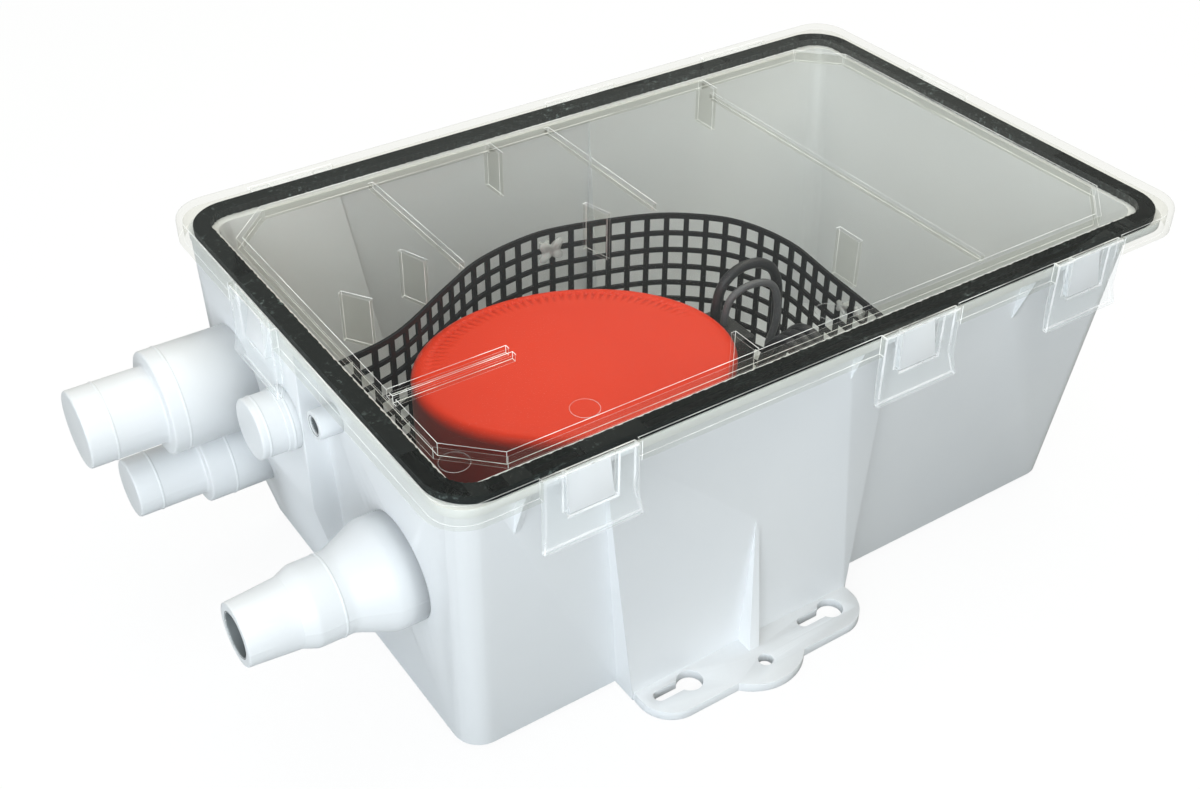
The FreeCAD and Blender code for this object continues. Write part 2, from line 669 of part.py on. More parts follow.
def catch(name, middle, reach, end):
    """A leaning plate under the rim. A catch of an end wall is drawn along X instead of Y."""
    half = size.catch_width / 2
    inner, thick, lean = reach - size.catch_thickness + 0.4, size.catch_thickness, size.catch_lean
    foot_inner = inner + lean
    top = size.tub_height - 0.5
    if end:
        return taper(name, (foot_inner, foot_inner + thick, middle - half, middle + half),
                     (inner, inner + thick, middle - half, middle + half), catch_bottom, top)
    return taper(name, (middle - half, middle + half, -1 * foot_inner - thick, -1 * foot_inner),
                 (middle - half, middle + half, -1 * inner - thick, -1 * inner), catch_bottom, top)


def fin(name, x):
    """A thin gusset under the rim beside a catch."""
    half = size.fin_thickness / 2
    top = size.tub_height - size.flange_thickness / 2
    low = top - size.fin_height
    return taper(name, (x - half, x + half, -1 * side_y(low) - 0.3, -1 * side_y(low) + size.wall / 2),
                 (x - half, x + half, -1 * rim_half_width + 1.0, -1 * side_y(top) + size.wall / 2), low, top)


def make_tub():
    flange = rounded_plate("rim_flange", rim_half_length, rim_half_width, size.flange_corner,
                           size.tub_height - size.flange_thickness, size.tub_height)
    pad_top = size.tub_height - size.flange_thickness / 2
    walls, pad = tub_walls(), pad_block("pad", 0.0, size.base_edge, pad_top)
    pieces = [walls, flange, pad]
    spaces = [tub_space(), pad_block("pad_space", size.wall, size.tub_floor, pad_top)]
    front = [bay_block("bay", 0.0, 0.0, size.tub_height - size.flange_thickness / 2)] + foot()
    front_spaces = [bay_block("bay_space", size.wall, size.tub_floor, size.tub_height - size.flange_thickness)]
    for place_name, x in SIDE_CLIPS:
        front.append(catch("catch_" + place_name, x, rim_half_width, False))
        front.append(fin("fin_" + place_name, x - size.fin_offset))
    front_shape = fused("front_side", front)
    holes_shape = fused("front_holes", foot_holes() + front_spaces)
    pieces += [front_shape, mirrored("back_side", front_shape, (0, 1, 0))]
    spaces += [holes_shape, mirrored("back_holes", holes_shape, (0, 1, 0))]
    end_catch = catch("catch_end", END_CLIP_Y, rim_half_length, True)
    pieces += [end_catch, mirrored("catch_port_end", end_catch, (1, 0, 0))]
    # The barbs meet the pad's face; each is a piece of its own, open towards the tub.
    inlets = {
        "large_inlet": inlet("large_inlet", size.large_inlet_y, size.large_inlet_z, size.large_root_radius,
                             size.large_root_length, size.large_tip_radius, size.large_tip_length),
        "middle_inlet": inlet("middle_inlet", size.middle_inlet_y, size.middle_inlet_z, size.middle_root_radius,
                              size.middle_root_length, size.middle_tip_radius, size.middle_tip_length),
        "small_inlet": inlet("small_inlet", size.small_inlet_y, size.small_inlet_z, size.small_root_radius,
                             size.small_root_length, size.small_tip_radius, size.small_tip_length),
    }
    for label, (outside, inside) in inlets.items():
        keep(cut(label + "_barb", outside, [inside, pad, walls]), label)
        spaces.append(inside)
    for outside, inside in (nipple(), discharge_port()):
        pieces.append(outside)
        spaces.append(inside)
    return keep(cut("tub_moulding", fused("tub_outside", pieces), spaces), "tub")


def make_gasket():
    top = size.tub_height + size.gasket_thickness
    band = rounded_plate("gasket_band", gasket_half_length, gasket_half_width, size.gasket_corner,
                         size.tub_height, top)
    inner_x = gasket_half_length - size.gasket_width
    inner_y = gasket_half_width - size.gasket_width
    mouth = box("gasket_mouth", (-1 * inner_x, -1 * inner_y, size.tub_height - OVERLAP),
                (inner_x, inner_y, top + OVERLAP))
    return keep(cut("gasket_ring", band, [mouth]), "lid_gasket")


# Drop tabs under the lid: middle of each as a share of the mouth's half length and half width, and its
# direction in degrees.
DROP_TABS = ((-0.8465, 0.1535, -57.0), (-0.6540, 0.2893, -69.0), (-0.2131, 0.8797, -90.0),
             (-0.1661, 0.2007, -76.0), (0.4997, 0.8797, 90.0), (0.2756, -0.5077, -90.0),
             (-0.2190, -0.8561, -90.0))

# Stiffening ribs across the lid: place along the mouth, and both ends across it, as shares again.
CROSS_RIBS = ((-0.5732, 0.1417, 0.8856), (-0.0338, 0.1015, 0.9092), (0.4739, -0.9092, 0.7911))
LONG_RIBS = (-0.4298, -0.4747)


def mouth_outline(name, inset):
    """The rib in the tub's mouth: a rectangle with cut corners."""
    x = top_half_length - size.wall - size.rim_gap - inset
    y = top_half_width - size.wall - size.rim_gap - inset
    c = size.rib_chamfer - inset * 0.6
    return corner_sketch(name, [(-1 * x, c - y), (c - x, -1 * y), (x - c, -1 * y), (x, c - y),
                                (x, y - c), (x - c, y), (c - x, y), (-1 * x, y - c)])


def make_lid():
    # Plate and skirt are one padded block, rounded along its top edge and hollowed from below.
    body = document.addObject("PartDesign::Body", "lid_shell")
    plane = [f for f in body.Origin.OriginFeatures if f.Role == "XY_Plane"][0]
    skirt_bottom = plate_bottom - size.skirt_drop

    def attached(name, half_x, half_y, corner):
        loose = rounded_sketch(name + "_pattern", half_x, half_y, corner)
        sketch = body.newObject("Sketcher::SketchObject", name)
        sketch.AttachmentSupport = [(plane, "")]
        sketch.MapMode = "FlatFace"
        sketch.setExpression("AttachmentOffset.Base.z", skirt_bottom.text)
        sketch.addGeometry(loose.Geometry, False)
        sketch.addConstraint(loose.Constraints)
        for path, text in loose.ExpressionEngine:
            if path.startswith("Constraints"):
                sketch.setExpression(path.lstrip("."), text)
        document.removeObject(loose.Name)
        return sketch

    pad = body.newObject("PartDesign::Pad", "lid_pad")
    pad.Profile = attached("lid_outline", lid_half_length, lid_half_width, size.lid_corner)
    tie(pad, Length=lid_top - skirt_bottom)
    document.recompute()
    top_face = ["Face%d" % (i + 1) for i, face in enumerate(pad.Shape.Faces)
                if face.BoundBox.ZMin > lid_top.value - 0.01]
    soft = body.newObject("PartDesign::Fillet", "lid_soft_edge")
    soft.Base = (pad, top_face)
    tie(soft, Radius=size.lid_edge)
    document.recompute()
    hollow = body.newObject("PartDesign::Pocket", "lid_hollow")
    hollow.Profile = attached("lid_hollow_outline", lid_half_length - size.skirt_wall,
                              lid_half_width - size.skirt_wall, size.lid_corner - size.skirt_wall)
    hollow.Reversed = True
    tie(hollow, Length=size.skirt_drop)
    body.Tip = hollow

    ribs = []
    rib_low = plate_bottom - size.mouth_rib_drop
    sunk = plate_bottom + OVERLAP
    outer = extruded("mouth_rib_outer", place(mouth_outline("mouth_rib_outline", 0.0), (0, 0, rib_low)),
                     sunk - rib_low)
    inner = extruded("mouth_rib_inner",
                     place(mouth_outline("mouth_rib_inside", size.lid_rib_thickness), (0, 0, rib_low - OVERLAP)),
                     sunk - rib_low + 2 * OVERLAP)
    ribs.append(cut("mouth_rib", outer, [inner]))
    low = plate_bottom - size.stiffener_drop
    half = size.lid_rib_thickness / 2
    length, width = top_half_length, top_half_width
    for i, (x, y0, y1) in enumerate(CROSS_RIBS):
        ribs.append(box("cross_rib_%d" % i, (length * x - half, width * y0, low), (length * x + half, width * y1, sunk)))
    rib_start = -1 * (top_half_length - size.wall - size.rim_gap - half)
    for i, y in enumerate(LONG_RIBS):
        ribs.append(box("long_rib_%d" % i, (rib_start, width * y - half, low), (length * -0.6643, width * y + half, sunk)))
    for i, (x, y, angle) in enumerate(DROP_TABS):
        tab = document.addObject("Part::Box", "drop_tab_%d" % i)
        tie(tab, Length=size.tab_width, Width=size.tab_thickness, Height=size.tab_drop + OVERLAP)
        turn = FreeCAD.Rotation(FreeCAD.Vector(0, 0, 1), angle)
        corner = turn.multVec(FreeCAD.Vector(-number(size.tab_width) / 2, -number(size.tab_thickness) / 2, 0))
        place(tab, (length * x + corner.x, width * y + corner.y, plate_bottom - size.tab_drop), turn)
        ribs.append(tab)

    # Each clip hangs in a gap of the skirt, under the lid's plate.
    gap = size.clip_width / 2 + size.clip_play
    skirt_inside = lid_half_width - size.clip_thickness - size.clip_play
    gaps = []
    for place_name, x in SIDE_CLIPS:
        gaps.append(box("skirt_gap_" + place_name, (x - gap, -1 * lid_half_width - OVERLAP, skirt_bottom - OVERLAP),
                        (x + gap, -1 * skirt_inside, plate_bottom)))
    front_gaps = fused("front_gaps", gaps)
    skirt_inside = lid_half_length - size.clip_thickness - size.clip_play
    end_gap = box("skirt_gap_end", (skirt_inside, END_CLIP_Y - gap, skirt_bottom - OVERLAP),
                  (lid_half_length + OVERLAP, END_CLIP_Y + gap, plate_bottom))
    tools = [front_gaps, mirrored("back_gaps", front_gaps, (0, 1, 0)),
             end_gap, mirrored("port_end_gap", end_gap, (1, 0, 0))]
    return keep(cut("lid_moulding", fused("lid_solid", [body] + ribs), tools), "lid")


def clip(label, middle, along):
    """A U-shaped lid clip: two legs and a bar, hanging at the lid's edge on the side given."""
    half, window = size.clip_width / 2, size.clip_window / 2
    reach = lid_half_length if "x" in along else lid_half_width
    outline = corner_sketch(label + "_outline", [
        (-1 * half, 0), (half, 0), (half, size.clip_drop), (window, size.clip_drop),
        (window, size.clip_bar), (-1 * window, size.clip_bar), (-1 * window, size.clip_drop),
        (-1 * half, size.clip_drop)])
    outline.Placement = FreeCAD.Placement(FreeCAD.Vector(), FreeCAD.Rotation(FreeCAD.Vector(1, 0, 0), 90))
    solid = extruded(label + "_solid", outline, size.clip_thickness)
    turns = {"-y": 0, "+x": 90, "+y": 180, "-x": -90}
    spots = {"-y": (middle, -1 * reach + size.clip_thickness, clip_bottom),
             "+y": (middle, reach - size.clip_thickness, clip_bottom),
             "+x": (reach - size.clip_thickness, middle, clip_bottom),
             "-x": (-1 * reach + size.clip_thickness, middle, clip_bottom)}
    place(solid, spots[along], FreeCAD.Rotation(FreeCAD.Vector(0, 0, 1), turns[along]))
    return keep(solid, label)


def make_clips():
    for place_name, x in SIDE_CLIPS:
        clip("clip_front_" + place_name, x, "-y")
        clip("clip_back_" + place_name, x, "+y")
    clip("clip_port_end", END_CLIP_Y, "-x")
    clip("clip_far_end", END_CLIP_Y, "+x")


# Corners of the filter strip in plan, from the pump's middle, as shares of the pump's half length. They
# run from the port end round behind the pump to the front wall.
SCREEN_SHARES = ((-1.3961, 0.5020), (-0.9294, 0.6000), (-0.4216, 0.8804), (-0.0804, 1.0549), (0.2961, 1.1333),
                 (0.6098, 1.1176), (1.1608, 0.9510), (1.4588, 0.7725), (1.6902, 0.5059), (1.7941, 0.0980),
                 (1.7529, -0.3608), (1.6922, -1.0627))
PUMP_REACH = size.pump_half_length.value
SCREEN_PATH = [(size.pump_x.value + PUMP_REACH * u, size.pump_y.value + PUMP_REACH * v) for u, v in SCREEN_SHARES]


def screen_panel(start, end):
    """One flat stretch of the filter strip with its grid of square holes."""
    length = start.distanceToPoint(end)
    height, thick = size.screen_height.value, size.screen_thickness.value
    pitch, row, bar = size.screen_pitch.value, size.screen_row.value, size.screen_bar.value
    columns = max(1, int(round(length / pitch)))
    rows = int(height / row)
    step_x = length / columns
    step_z = (height - bar) / rows

    def rectangle(x0, x1, z0, z1):
        corners = [FreeCAD.Vector(x, 0, z) for x, z in ((x0, z0), (x1, z0), (x1, z1), (x0, z1), (x0, z0))]
        return Part.makePolygon(corners)

    face = Part.Face(rectangle(0, length, 0, height))
    holes = []
    for i in range(columns):
        for j in range(rows):
            x0, z0 = i * step_x + bar / 2, bar + j * step_z
            holes.append(Part.Face(rectangle(x0, x0 + step_x - bar, z0, z0 + step_z - bar)))
    grid = face.cut(Part.makeCompound(holes)).extrude(FreeCAD.Vector(0, thick, 0))
    grid.translate(FreeCAD.Vector(0, -thick / 2, 0))
    heading = math.degrees(math.atan2(end.y - start.y, end.x - start.x))
    grid.Placement = FreeCAD.Placement(start, FreeCAD.Rotation(FreeCAD.Vector(0, 0, 1), heading)).multiply(
        grid.Placement)
    return grid


# The strip is kept in runs of three stretches, so that each is nearly straight. These are their names.
SCREEN_RUNS = ("screen_port_run", "screen_back_run", "screen_far_run", "screen_front_run")


def make_screen():
    floor_z = size.tub_floor.value
    points = [FreeCAD.Vector(x, y, floor_z) for x, y in SCREEN_PATH]
    panels = [screen_panel(a, b) for a, b in zip(points, points[1:])]
    posts = [Part.makeCylinder(size.screen_thickness.value / 2, size.screen_height.value, p) for p in points[1:-1]]
    # The ends of the strip stop just short of the tub's drafted walls.
    limit = tub_space()
    limit.Label = "screen_limit"
    before = None
    for i, label in enumerate(SCREEN_RUNS):
        first, last = 3 * i, 3 * i + 3
        run = panels[first].multiFuse(panels[first + 1:last] + posts[first:last]).removeSplitter()
        if before is not None:
            run = run.cut(before)
        strip = document.addObject("Part::Feature", label + "_strip")
        strip.Shape = run
        kept = document.addObject("Part::Common", label + "_in_tub")
        kept.Base = strip
        kept.Tool = limit
        keep(kept, label)
        before = run


# Pins of the filter strip: which stretch of it, the share along that stretch, and how far below its top.
SCREEN_PINS = ((4, 0.71, 7.5), (10, 0.259, 7.5), (10, 0.506, 4.7))


def make_screen_pins():
    """Clear pins through the strip, each with a round head on the side of the pump."""
    half = size.screen_thickness / 2
    parts = []
    for i, (stretch, along, drop) in enumerate(SCREEN_PINS):
        start, end = [FreeCAD.Vector(x, y, 0) for x, y in SCREEN_PATH[stretch:stretch + 2]]
        run = FreeCAD.Vector(end - start).normalize()
        inward = FreeCAD.Vector(run.y, -run.x, 0)
        spot = start + (end - start) * along
        z = size.tub_floor + size.screen_height - drop
        turn = FreeCAD.Rotation(FreeCAD.Vector(0, 0, 1), -inward)
        for name, radius, length, offset in (("pin_head", 4.0, 1.2, half + 1.2), ("pin_shank", 1.4, 5.0, half + 0.6)):
            piece = rod("%s_%d" % (name, i), radius, length, (0.0, 0.0, 0.0))
            place(piece, (spot.x + inward.x * offset, spot.y + inward.y * offset, z), turn)
            parts.append(piece)
    return keep(fused("pin_solids", parts), "screen_pins")


# Pump housing.
def make_cap():
    block = oval("cap_block", 0.0, size.cap_bottom, size.cap_top)
    top = size.cap_top.value
    soft = rounded_edges("cap_soft", block, size.cap_edge, lambda edge: edge.BoundBox.ZMin > top - 0.01)
    space = oval("cap_space", size.cap_wall, size.cap_bottom - OVERLAP, cap_ceiling)
    return keep(cut("cap_shell", soft, [space]), "pump_cap")


def make_strainer_base():
    low, high = size.tub_floor, deck_bottom
    block = oval("base_block", -1 * size.base_step, low, high)
    space = oval("base_space", size.strainer_wall - size.base_step, low + size.strainer_floor, high + OVERLAP)
    tools = [space]
    slot_low, slot_high = low + size.strainer_floor + 2.0, high - 3.0
    for i in range(int(size.slot_count.value)):
        slot = document.addObject("Part::Box", "strainer_slot_%d" % i)
        tie(slot, Length=FAR / 2, Width=size.slot_width, Height=slot_high - slot_low)
        angle = 180.0 * (i + 0.5) / size.slot_count.value
        turn = FreeCAD.Rotation(FreeCAD.Vector(0, 0, 1), angle)
        corner = turn.multVec(FreeCAD.Vector(-FAR / 4, -size.slot_width.value / 2, 0))
        place(slot, (size.pump_x + corner.x, size.pump_y + corner.y, slot_low), turn)
        tools.append(slot)
    gap = size.spout_radius + size.socket_wall + 1.0
    tools.append(box("spout_gap", (-1 * size.spout_end - gap, size.discharge_y - gap, size.spout_z - gap),
                     (-1 * size.spout_end + 2 * gap, size.discharge_y + gap, high + OVERLAP)))
    return keep(cut("strainer_shell", block, tools), "strainer_base")


def make_deck():
    """The deck with the volute below it, the outlet spout, the motor's seat and the float's ears."""
    x, y = size.motor_x, size.motor_y
    low = deck_bottom - size.volute_depth
    plate = oval("deck_plate", -1 * size.base_step, deck_bottom, size.cap_bottom)
    cup = rod("volute_cup", size.volute_radius + size.volute_wall, size.volute_depth + OVERLAP, (x, y, low))
    spout_length = size.spout_end + x
    spout = rod("spout", size.spout_radius, spout_length, (x, size.discharge_y, size.spout_z), "-x")
    seat = rod("motor_seat", size.can_radius / 2, size.spigot_height + OVERLAP, (x, y, size.cap_bottom - OVERLAP))
    pin_y, half_pin = size.float_pivot_y, size.float_pin_length / 2
    ears = []
    for i, side in enumerate((-1, 1)):
        edge = pin_y + side * half_pin
        inner = edge - side * size.ear_thickness
        low_y, high_y = (edge, inner) if side < 0 else (inner, edge)
        ears.append(box("float_ear_%d" % i, (size.float_pivot_x - 3.5, low_y, size.cap_bottom - OVERLAP),
                        (size.float_pivot_x + 3.5, high_y, size.float_pivot_z + 3.5)))
    solid = fused("deck_solid", [plate, cup, spout, seat] + ears)
    chamber = rod("volute_space", size.volute_radius, size.volute_depth - size.volute_wall,
                  (x, y, low + size.volute_wall))
    eye = rod("volute_eye", size.eye_radius, size.volute_wall + 2 * OVERLAP, (x, y, low - OVERLAP))
    bore = rod("spout_space", size.spout_bore, spout_length + OVERLAP, (x, size.discharge_y, size.spout_z), "-x")
    seal_hole = rod("seal_hole", size.seal_radius, FAR, (x, y, deck_bottom - OVERLAP))
    far_x = size.float_pivot_x + size.float_gap + size.float_length
    window = box("float_window", (size.float_pivot_x + 4.0, pin_y - size.float_width / 2 - 1.5, deck_bottom - OVERLAP),
                 (far_x + 4.0, pin_y + size.float_width / 2 + 1.5, size.cap_bottom + OVERLAP))
    pin_hole = rod("float_pin_hole", size.float_pin_radius, size.float_pin_length + 2 * OVERLAP,
                   (size.float_pivot_x, pin_y + half_pin + OVERLAP, size.float_pivot_z), "-y")
    tools = [chamber, eye, bore, seal_hole, window, pin_hole, housing_seal("seal_groove")]
    return keep(cut("deck_part", solid, tools), "volute_housing")


def housing_seal(name):
    """The oval seal in the deck's top, under the edge of the cap."""
    low, inner = size.cap_bottom - size.seal_depth, size.seal_inset + size.seal_width
    return cut(name, oval(name + "_outer", size.seal_inset, low, size.cap_bottom),
               [oval(name + "_inner", inner, low - OVERLAP, size.cap_bottom + OVERLAP)])


def make_impeller():
    """A disc with a hub and curved vanes below it, patterned round the shaft."""
    top = deck_bottom - size.impeller_gap
    low = deck_bottom - size.volute_depth + size.volute_wall + size.impeller_gap
    body = document.addObject("PartDesign::Body", "impeller_body")
    plane = [f for f in body.Origin.OriginFeatures if f.Role == "XY_Plane"][0]
    axis = [f for f in body.Origin.OriginFeatures if f.Role == "Z_Axis"][0]

    def level(name, z):
        sketch = body.newObject("Sketcher::SketchObject", name)
        sketch.AttachmentSupport = [(plane, "")]
        sketch.MapMode = "FlatFace"
        sketch.setExpression("AttachmentOffset.Base.z", z.text)
        return sketch

    def disc(name, z, radius):
        sketch = level(name, z)
        sketch.addGeometry(Part.Circle(FreeCAD.Vector(), FreeCAD.Vector(0, 0, 1), radius.value), False)
        sketch.addConstraint(Sketcher.Constraint("Coincident", 0, 3, -1, 1))
        index = sketch.addConstraint(Sketcher.Constraint("Radius", 0, radius.value))
        sketch.setExpression("Constraints[%d]" % index, radius.text)
        return sketch

    plate = body.newObject("PartDesign::Pad", "impeller_plate")
    plate.Profile = disc("impeller_disc", top - size.impeller_disc, size.impeller_radius)
    tie(plate, Length=size.impeller_disc)
    hub = body.newObject("PartDesign::Pad", "impeller_hub")
    hub.Profile = disc("impeller_hub_outline", low, size.shaft_radius * 2.8)
    tie(hub, Length=top - low)
    reach, half = size.impeller_radius, size.vane_thickness / 2
    vane_sketch = level("vane_outline", low)
    outline = [(size.shaft_radius * 2, -1 * half), (reach * 0.55, reach * 0.12 - half), (reach * 0.94, reach * 0.36 - half),
               (reach * 0.90, reach * 0.36 + half), (reach * 0.52, reach * 0.12 + half), (size.shaft_radius * 2, half)]
    points = [FreeCAD.Vector(x.value, y.value, 0) for x, y in outline]
    for i in range(len(points)):
        vane_sketch.addGeometry(Part.LineSegment(points[i], points[(i + 1) % len(points)]), False)
    for i in range(len(points)):
        vane_sketch.addConstraint(Sketcher.Constraint("Coincident", i, 2, (i + 1) % len(points), 1))
    for i, corner in enumerate(outline):
        for kind, length in zip(("DistanceX", "DistanceY"), corner):
            index = vane_sketch.addConstraint(Sketcher.Constraint(kind, -1, 1, i, 1, length.value))
            vane_sketch.setExpression("Constraints[%d]" % index, length.text)
    vane = body.newObject("PartDesign::Pad", "vane")
    vane.Profile = vane_sketch
    tie(vane, Length=top - size.impeller_disc - low)
    document.recompute()
    ring = body.newObject("PartDesign::PolarPattern", "vanes")
    ring.Originals = [vane]
    ring.Axis = (axis, [""])
    ring.Angle = 360
    ring.Occurrences = int(size.vane_count.value)
    body.Tip = ring
    document.recompute()
    hole = body.newObject("PartDesign::Pocket", "impeller_bore")
    hole.Profile = disc("impeller_bore_outline", low, size.shaft_radius)
    hole.Reversed = True
    tie(hole, Length=top - low)
    body.Tip = hole
    return keep(place(body, (size.motor_x, size.motor_y, 0.0)), "impeller")


def make_motor():
    """Shaft, seal, can, end plate, bushes, magnets, armature, commutator and brushes."""
    x, y = size.motor_x, size.motor_y
    gap = size.running_gap
    shaft_low = deck_bottom - size.volute_depth + size.volute_wall + size.impeller_gap
    shaft_top = can_top + size.end_plate
    keep(rod("shaft", size.shaft_radius, shaft_top - shaft_low, (x, y, shaft_low)), "motor_shaft")

    seal = rod("seal_ring", size.seal_radius, size.deck_thickness + 1.0, (x, y, deck_bottom))
    seal_bore = rod("seal_bore", size.shaft_radius + gap, FAR, (x, y, 0.0))
    keep(cut("seal_part", seal, [seal_bore]), "shaft_seal")

    can = rod("can_block", size.can_radius, size.can_height, (x, y, can_bottom))
    can_space = rod("can_space", size.can_radius - size.can_wall, size.can_height, (x, y, can_bottom + size.can_wall))
    can_hole = rod("can_hole", size.bush_radius, 3 * size.can_wall, (x, y, can_bottom - size.can_wall))
    keep(cut("can_part", can, [can_space, can_hole]), "motor_can")

    cover = rod("cover_disc", size.can_radius, size.end_plate, (x, y, can_top))
    cover_hole = rod("cover_hole", size.bush_radius, 3 * size.end_plate, (x, y, can_top - size.end_plate))
    keep(cut("cover_part", cover, [cover_hole]), "motor_end_plate")

    bushes = (("lower_bush", can_bottom), ("upper_bush", can_top + size.end_plate - size.bush_length))
    for label, z in bushes:
        ring = rod(label + "_ring", size.bush_radius, size.bush_length, (x, y, z))
        bore = rod(label + "_bore", size.shaft_radius + gap, 3 * size.bush_length, (x, y, z - size.bush_length))
        keep(cut(label + "_part", ring, [bore]), label)

    winding_low = can_bottom + size.bush_length + size.stack_gap
    commutator_low = can_top + size.end_plate - size.bush_length - size.stack_gap - size.commutator_length
    core_low = winding_low + size.winding_end
    core_length = commutator_low - size.stack_gap - size.winding_end - core_low
    magnet_radius = size.can_radius - size.can_wall
    core_radius = magnet_radius - size.magnet_thickness - size.air_gap
    sectors = []
    for i, start in enumerate((0.0, 180.0)):
        sector = rod("magnet_%d" % i, magnet_radius, core_length + 4.0, (x, y, core_low - 2.0),
                     angle=size.magnet_angle)
        sector.Placement.Rotation = FreeCAD.Rotation(FreeCAD.Vector(0, 0, 1), start + 90 - size.magnet_angle.value / 2)
        sectors.append(sector)
    magnet_space = rod("magnet_space", magnet_radius - size.magnet_thickness, FAR, (x, y, 0.0))
    keep(cut("magnet_part", fused("magnet_pair", sectors), [magnet_space]), "magnets")

    core = rod("core", core_radius, core_length, (x, y, core_low))
    winding = rod("winding", core_radius * 0.8, core_length + 2 * size.winding_end, (x, y, winding_low))
    slots = []
    for i in range(5):
        slot = document.addObject("Part::Box", "core_slot_%d" % i)
        tie(slot, Length=core_radius * 0.3, Width=2.4, Height=core_length + 2.0)
        turn = FreeCAD.Rotation(FreeCAD.Vector(0, 0, 1), 72.0 * i)
        corner = turn.multVec(FreeCAD.Vector(core_radius.value * 0.82, -1.2, 0))
        place(slot, (x + corner.x, y + corner.y, core_low - 1.0), turn)
        slots.append(slot)
    shaft_hole = rod("armature_bore", size.shaft_radius, FAR, (x, y, 0.0))
    keep(cut("armature_part", fused("armature_solid", [core, winding]), slots + [shaft_hole]), "armature")

    commutator = rod("commutator_ring", size.commutator_radius, size.commutator_length, (x, y, commutator_low))
    commutator_bore = rod("commutator_bore", size.shaft_radius, FAR, (x, y, 0.0))
    keep(cut("commutator_part", commutator, [commutator_bore]), "commutator")

    half = size.brush_size / 2
    near = size.commutator_radius + gap
    brush_low = can_top - size.brush_size
    left = box("brush_left", (x - near - size.brush_length, y - half, brush_low), (x - near, y + half, can_top))
    right = box("brush_right", (x + near, y - half, brush_low), (x + near + size.brush_length, y + half, can_top))
    keep(fused("brush_pair", [left, right]), "brushes")


def make_float():
    x, y, z = size.float_pivot_x, size.float_pivot_y, size.float_pivot_z
    start = x + size.float_gap
    half = size.float_width / 2
    block = box("float_block", (start, y - half, z - size.float_sink),
                (start + size.float_length, y + half, z - size.float_sink + size.float_depth))
    soft = rounded_edges("float_soft", block, 2.5, lambda edge: True)
    arm_half = half * 0.55
    arm = box("float_arm", (x, y - arm_half, z - 2.5), (start + 3.0, y + arm_half, z + 2.5))
    knuckle = rod("float_knuckle", 3.2, 2 * arm_half, (x, y + arm_half, z), "-y")
    hole = rod("float_hole", size.float_pin_radius + size.running_gap, FAR / 4, (x, y + FAR / 8, z), "-y")
    keep(cut("float_part", fused("float_solid", [soft, arm, knuckle]), [hole]), "float")
    pin = rod("float_pin_rod", size.float_pin_radius, size.float_pin_length, (x, y + size.float_pin_length / 2, z), "-y")
    keep(pin, "float_pin")
    middle = start + size.float_length / 2
    switch = box("switch_block", (middle - size.switch_width / 2, y - size.switch_depth / 2, size.switch_bottom),
                 (middle + size.switch_width / 2, y + size.switch_depth / 2, cap_ceiling))
    keep(switch, "float_switch")


def tube_along(points, radius, bend):
    """A round tube along straight runs joined by tangent arcs in one wire."""
    edges = []
    last = points[0]
    for i in range(1, len(points) - 1):
        corner = points[i]
        before = (points[i - 1] - corner).normalize()
        after = (points[i + 1] - corner).normalize()
        inside = before.getAngle(after)
        reach = bend[i - 1] / math.tan(inside / 2)
        first, second = corner + before * reach, corner + after * reach
        middle_way = (before + after).normalize()
        hub = corner + middle_way * (bend[i - 1] / math.sin(inside / 2))
        edges.append(Part.LineSegment(last, first).toShape())
        edges.append(Part.Arc(first, hub - middle_way * bend[i - 1], second).toShape())
        last = second
    edges.append(Part.LineSegment(last, points[-1]).toShape())
    path = Part.Wire(edges)
    heading = (points[1] - points[0]).normalize()
    ring = Part.Wire([Part.Circle(points[0], heading, radius).toShape()])
    solid = path.makePipeShell([ring], True, False)
    return solid, path.Length


def make_riser():
    """The elbow pipe from the pump's spout up and out to the discharge port."""
    spout_z, port_z = size.spout_z.value, size.discharge_z.value
    y, riser_x = size.discharge_y.value, size.riser_x.value
    socket_end = -size.spout_end.value
    port_end = discharge_inner.value - size.seat_inset.value - size.seat_socket.value
    bend = [size.riser_bend.value] * 2
    corners = [FreeCAD.Vector(riser_x, y, spout_z), FreeCAD.Vector(riser_x, y, port_z)]
    finish = FreeCAD.Vector(port_end, y, port_z)
    beyond = FreeCAD.Vector(port_end - 2.0, y, port_z)
    pipe = document.addObject("Part::Feature", "riser_pipe")
    start = FreeCAD.Vector(socket_end + 2.0, y, spout_z)
    pipe.Shape = tube_along([start] + corners + [finish], size.riser_radius.value, bend)[0]
    space = document.addObject("Part::Feature", "riser_space")
    start = FreeCAD.Vector(socket_end + 20.0, y, spout_z)
    space.Shape = tube_along([start] + corners + [beyond], size.riser_bore.value, bend)[0]
    mouth = size.spout_radius + size.running_gap
    at = (-1 * size.spout_end - 1.2, size.discharge_y, size.spout_z)
    socket = rod("riser_socket", mouth + size.socket_wall, size.socket_length + 1.2, at, "+x")
    end = (-1 * size.spout_end, size.discharge_y, size.spout_z)
    socket_space = rod("riser_socket_space", mouth, size.socket_length + OVERLAP, end, "+x")
    ring_x = -1 * size.spout_end + size.socket_length / 2

    def seal(name):
        ring = document.addObject("Part::Torus", name)
        tie(ring, Radius1=mouth + size.socket_ring / 2, Radius2=size.socket_ring)
        return place(ring, (ring_x, size.discharge_y, size.spout_z), TURNS["+x"])

    joined = fused("riser_solid", [pipe, socket])
    keep(cut("riser_part", joined, [socket_space, space, seal("riser_groove")]), "outlet_elbow")
    pinch = rod("ring_limit", mouth - size.running_gap, FAR / 10, (ring_x - FAR / 20, size.discharge_y, size.spout_z),
                "+x")
    keep(cut("riser_ring_part", seal("riser_ring"), [pinch]), "elbow_o_ring")


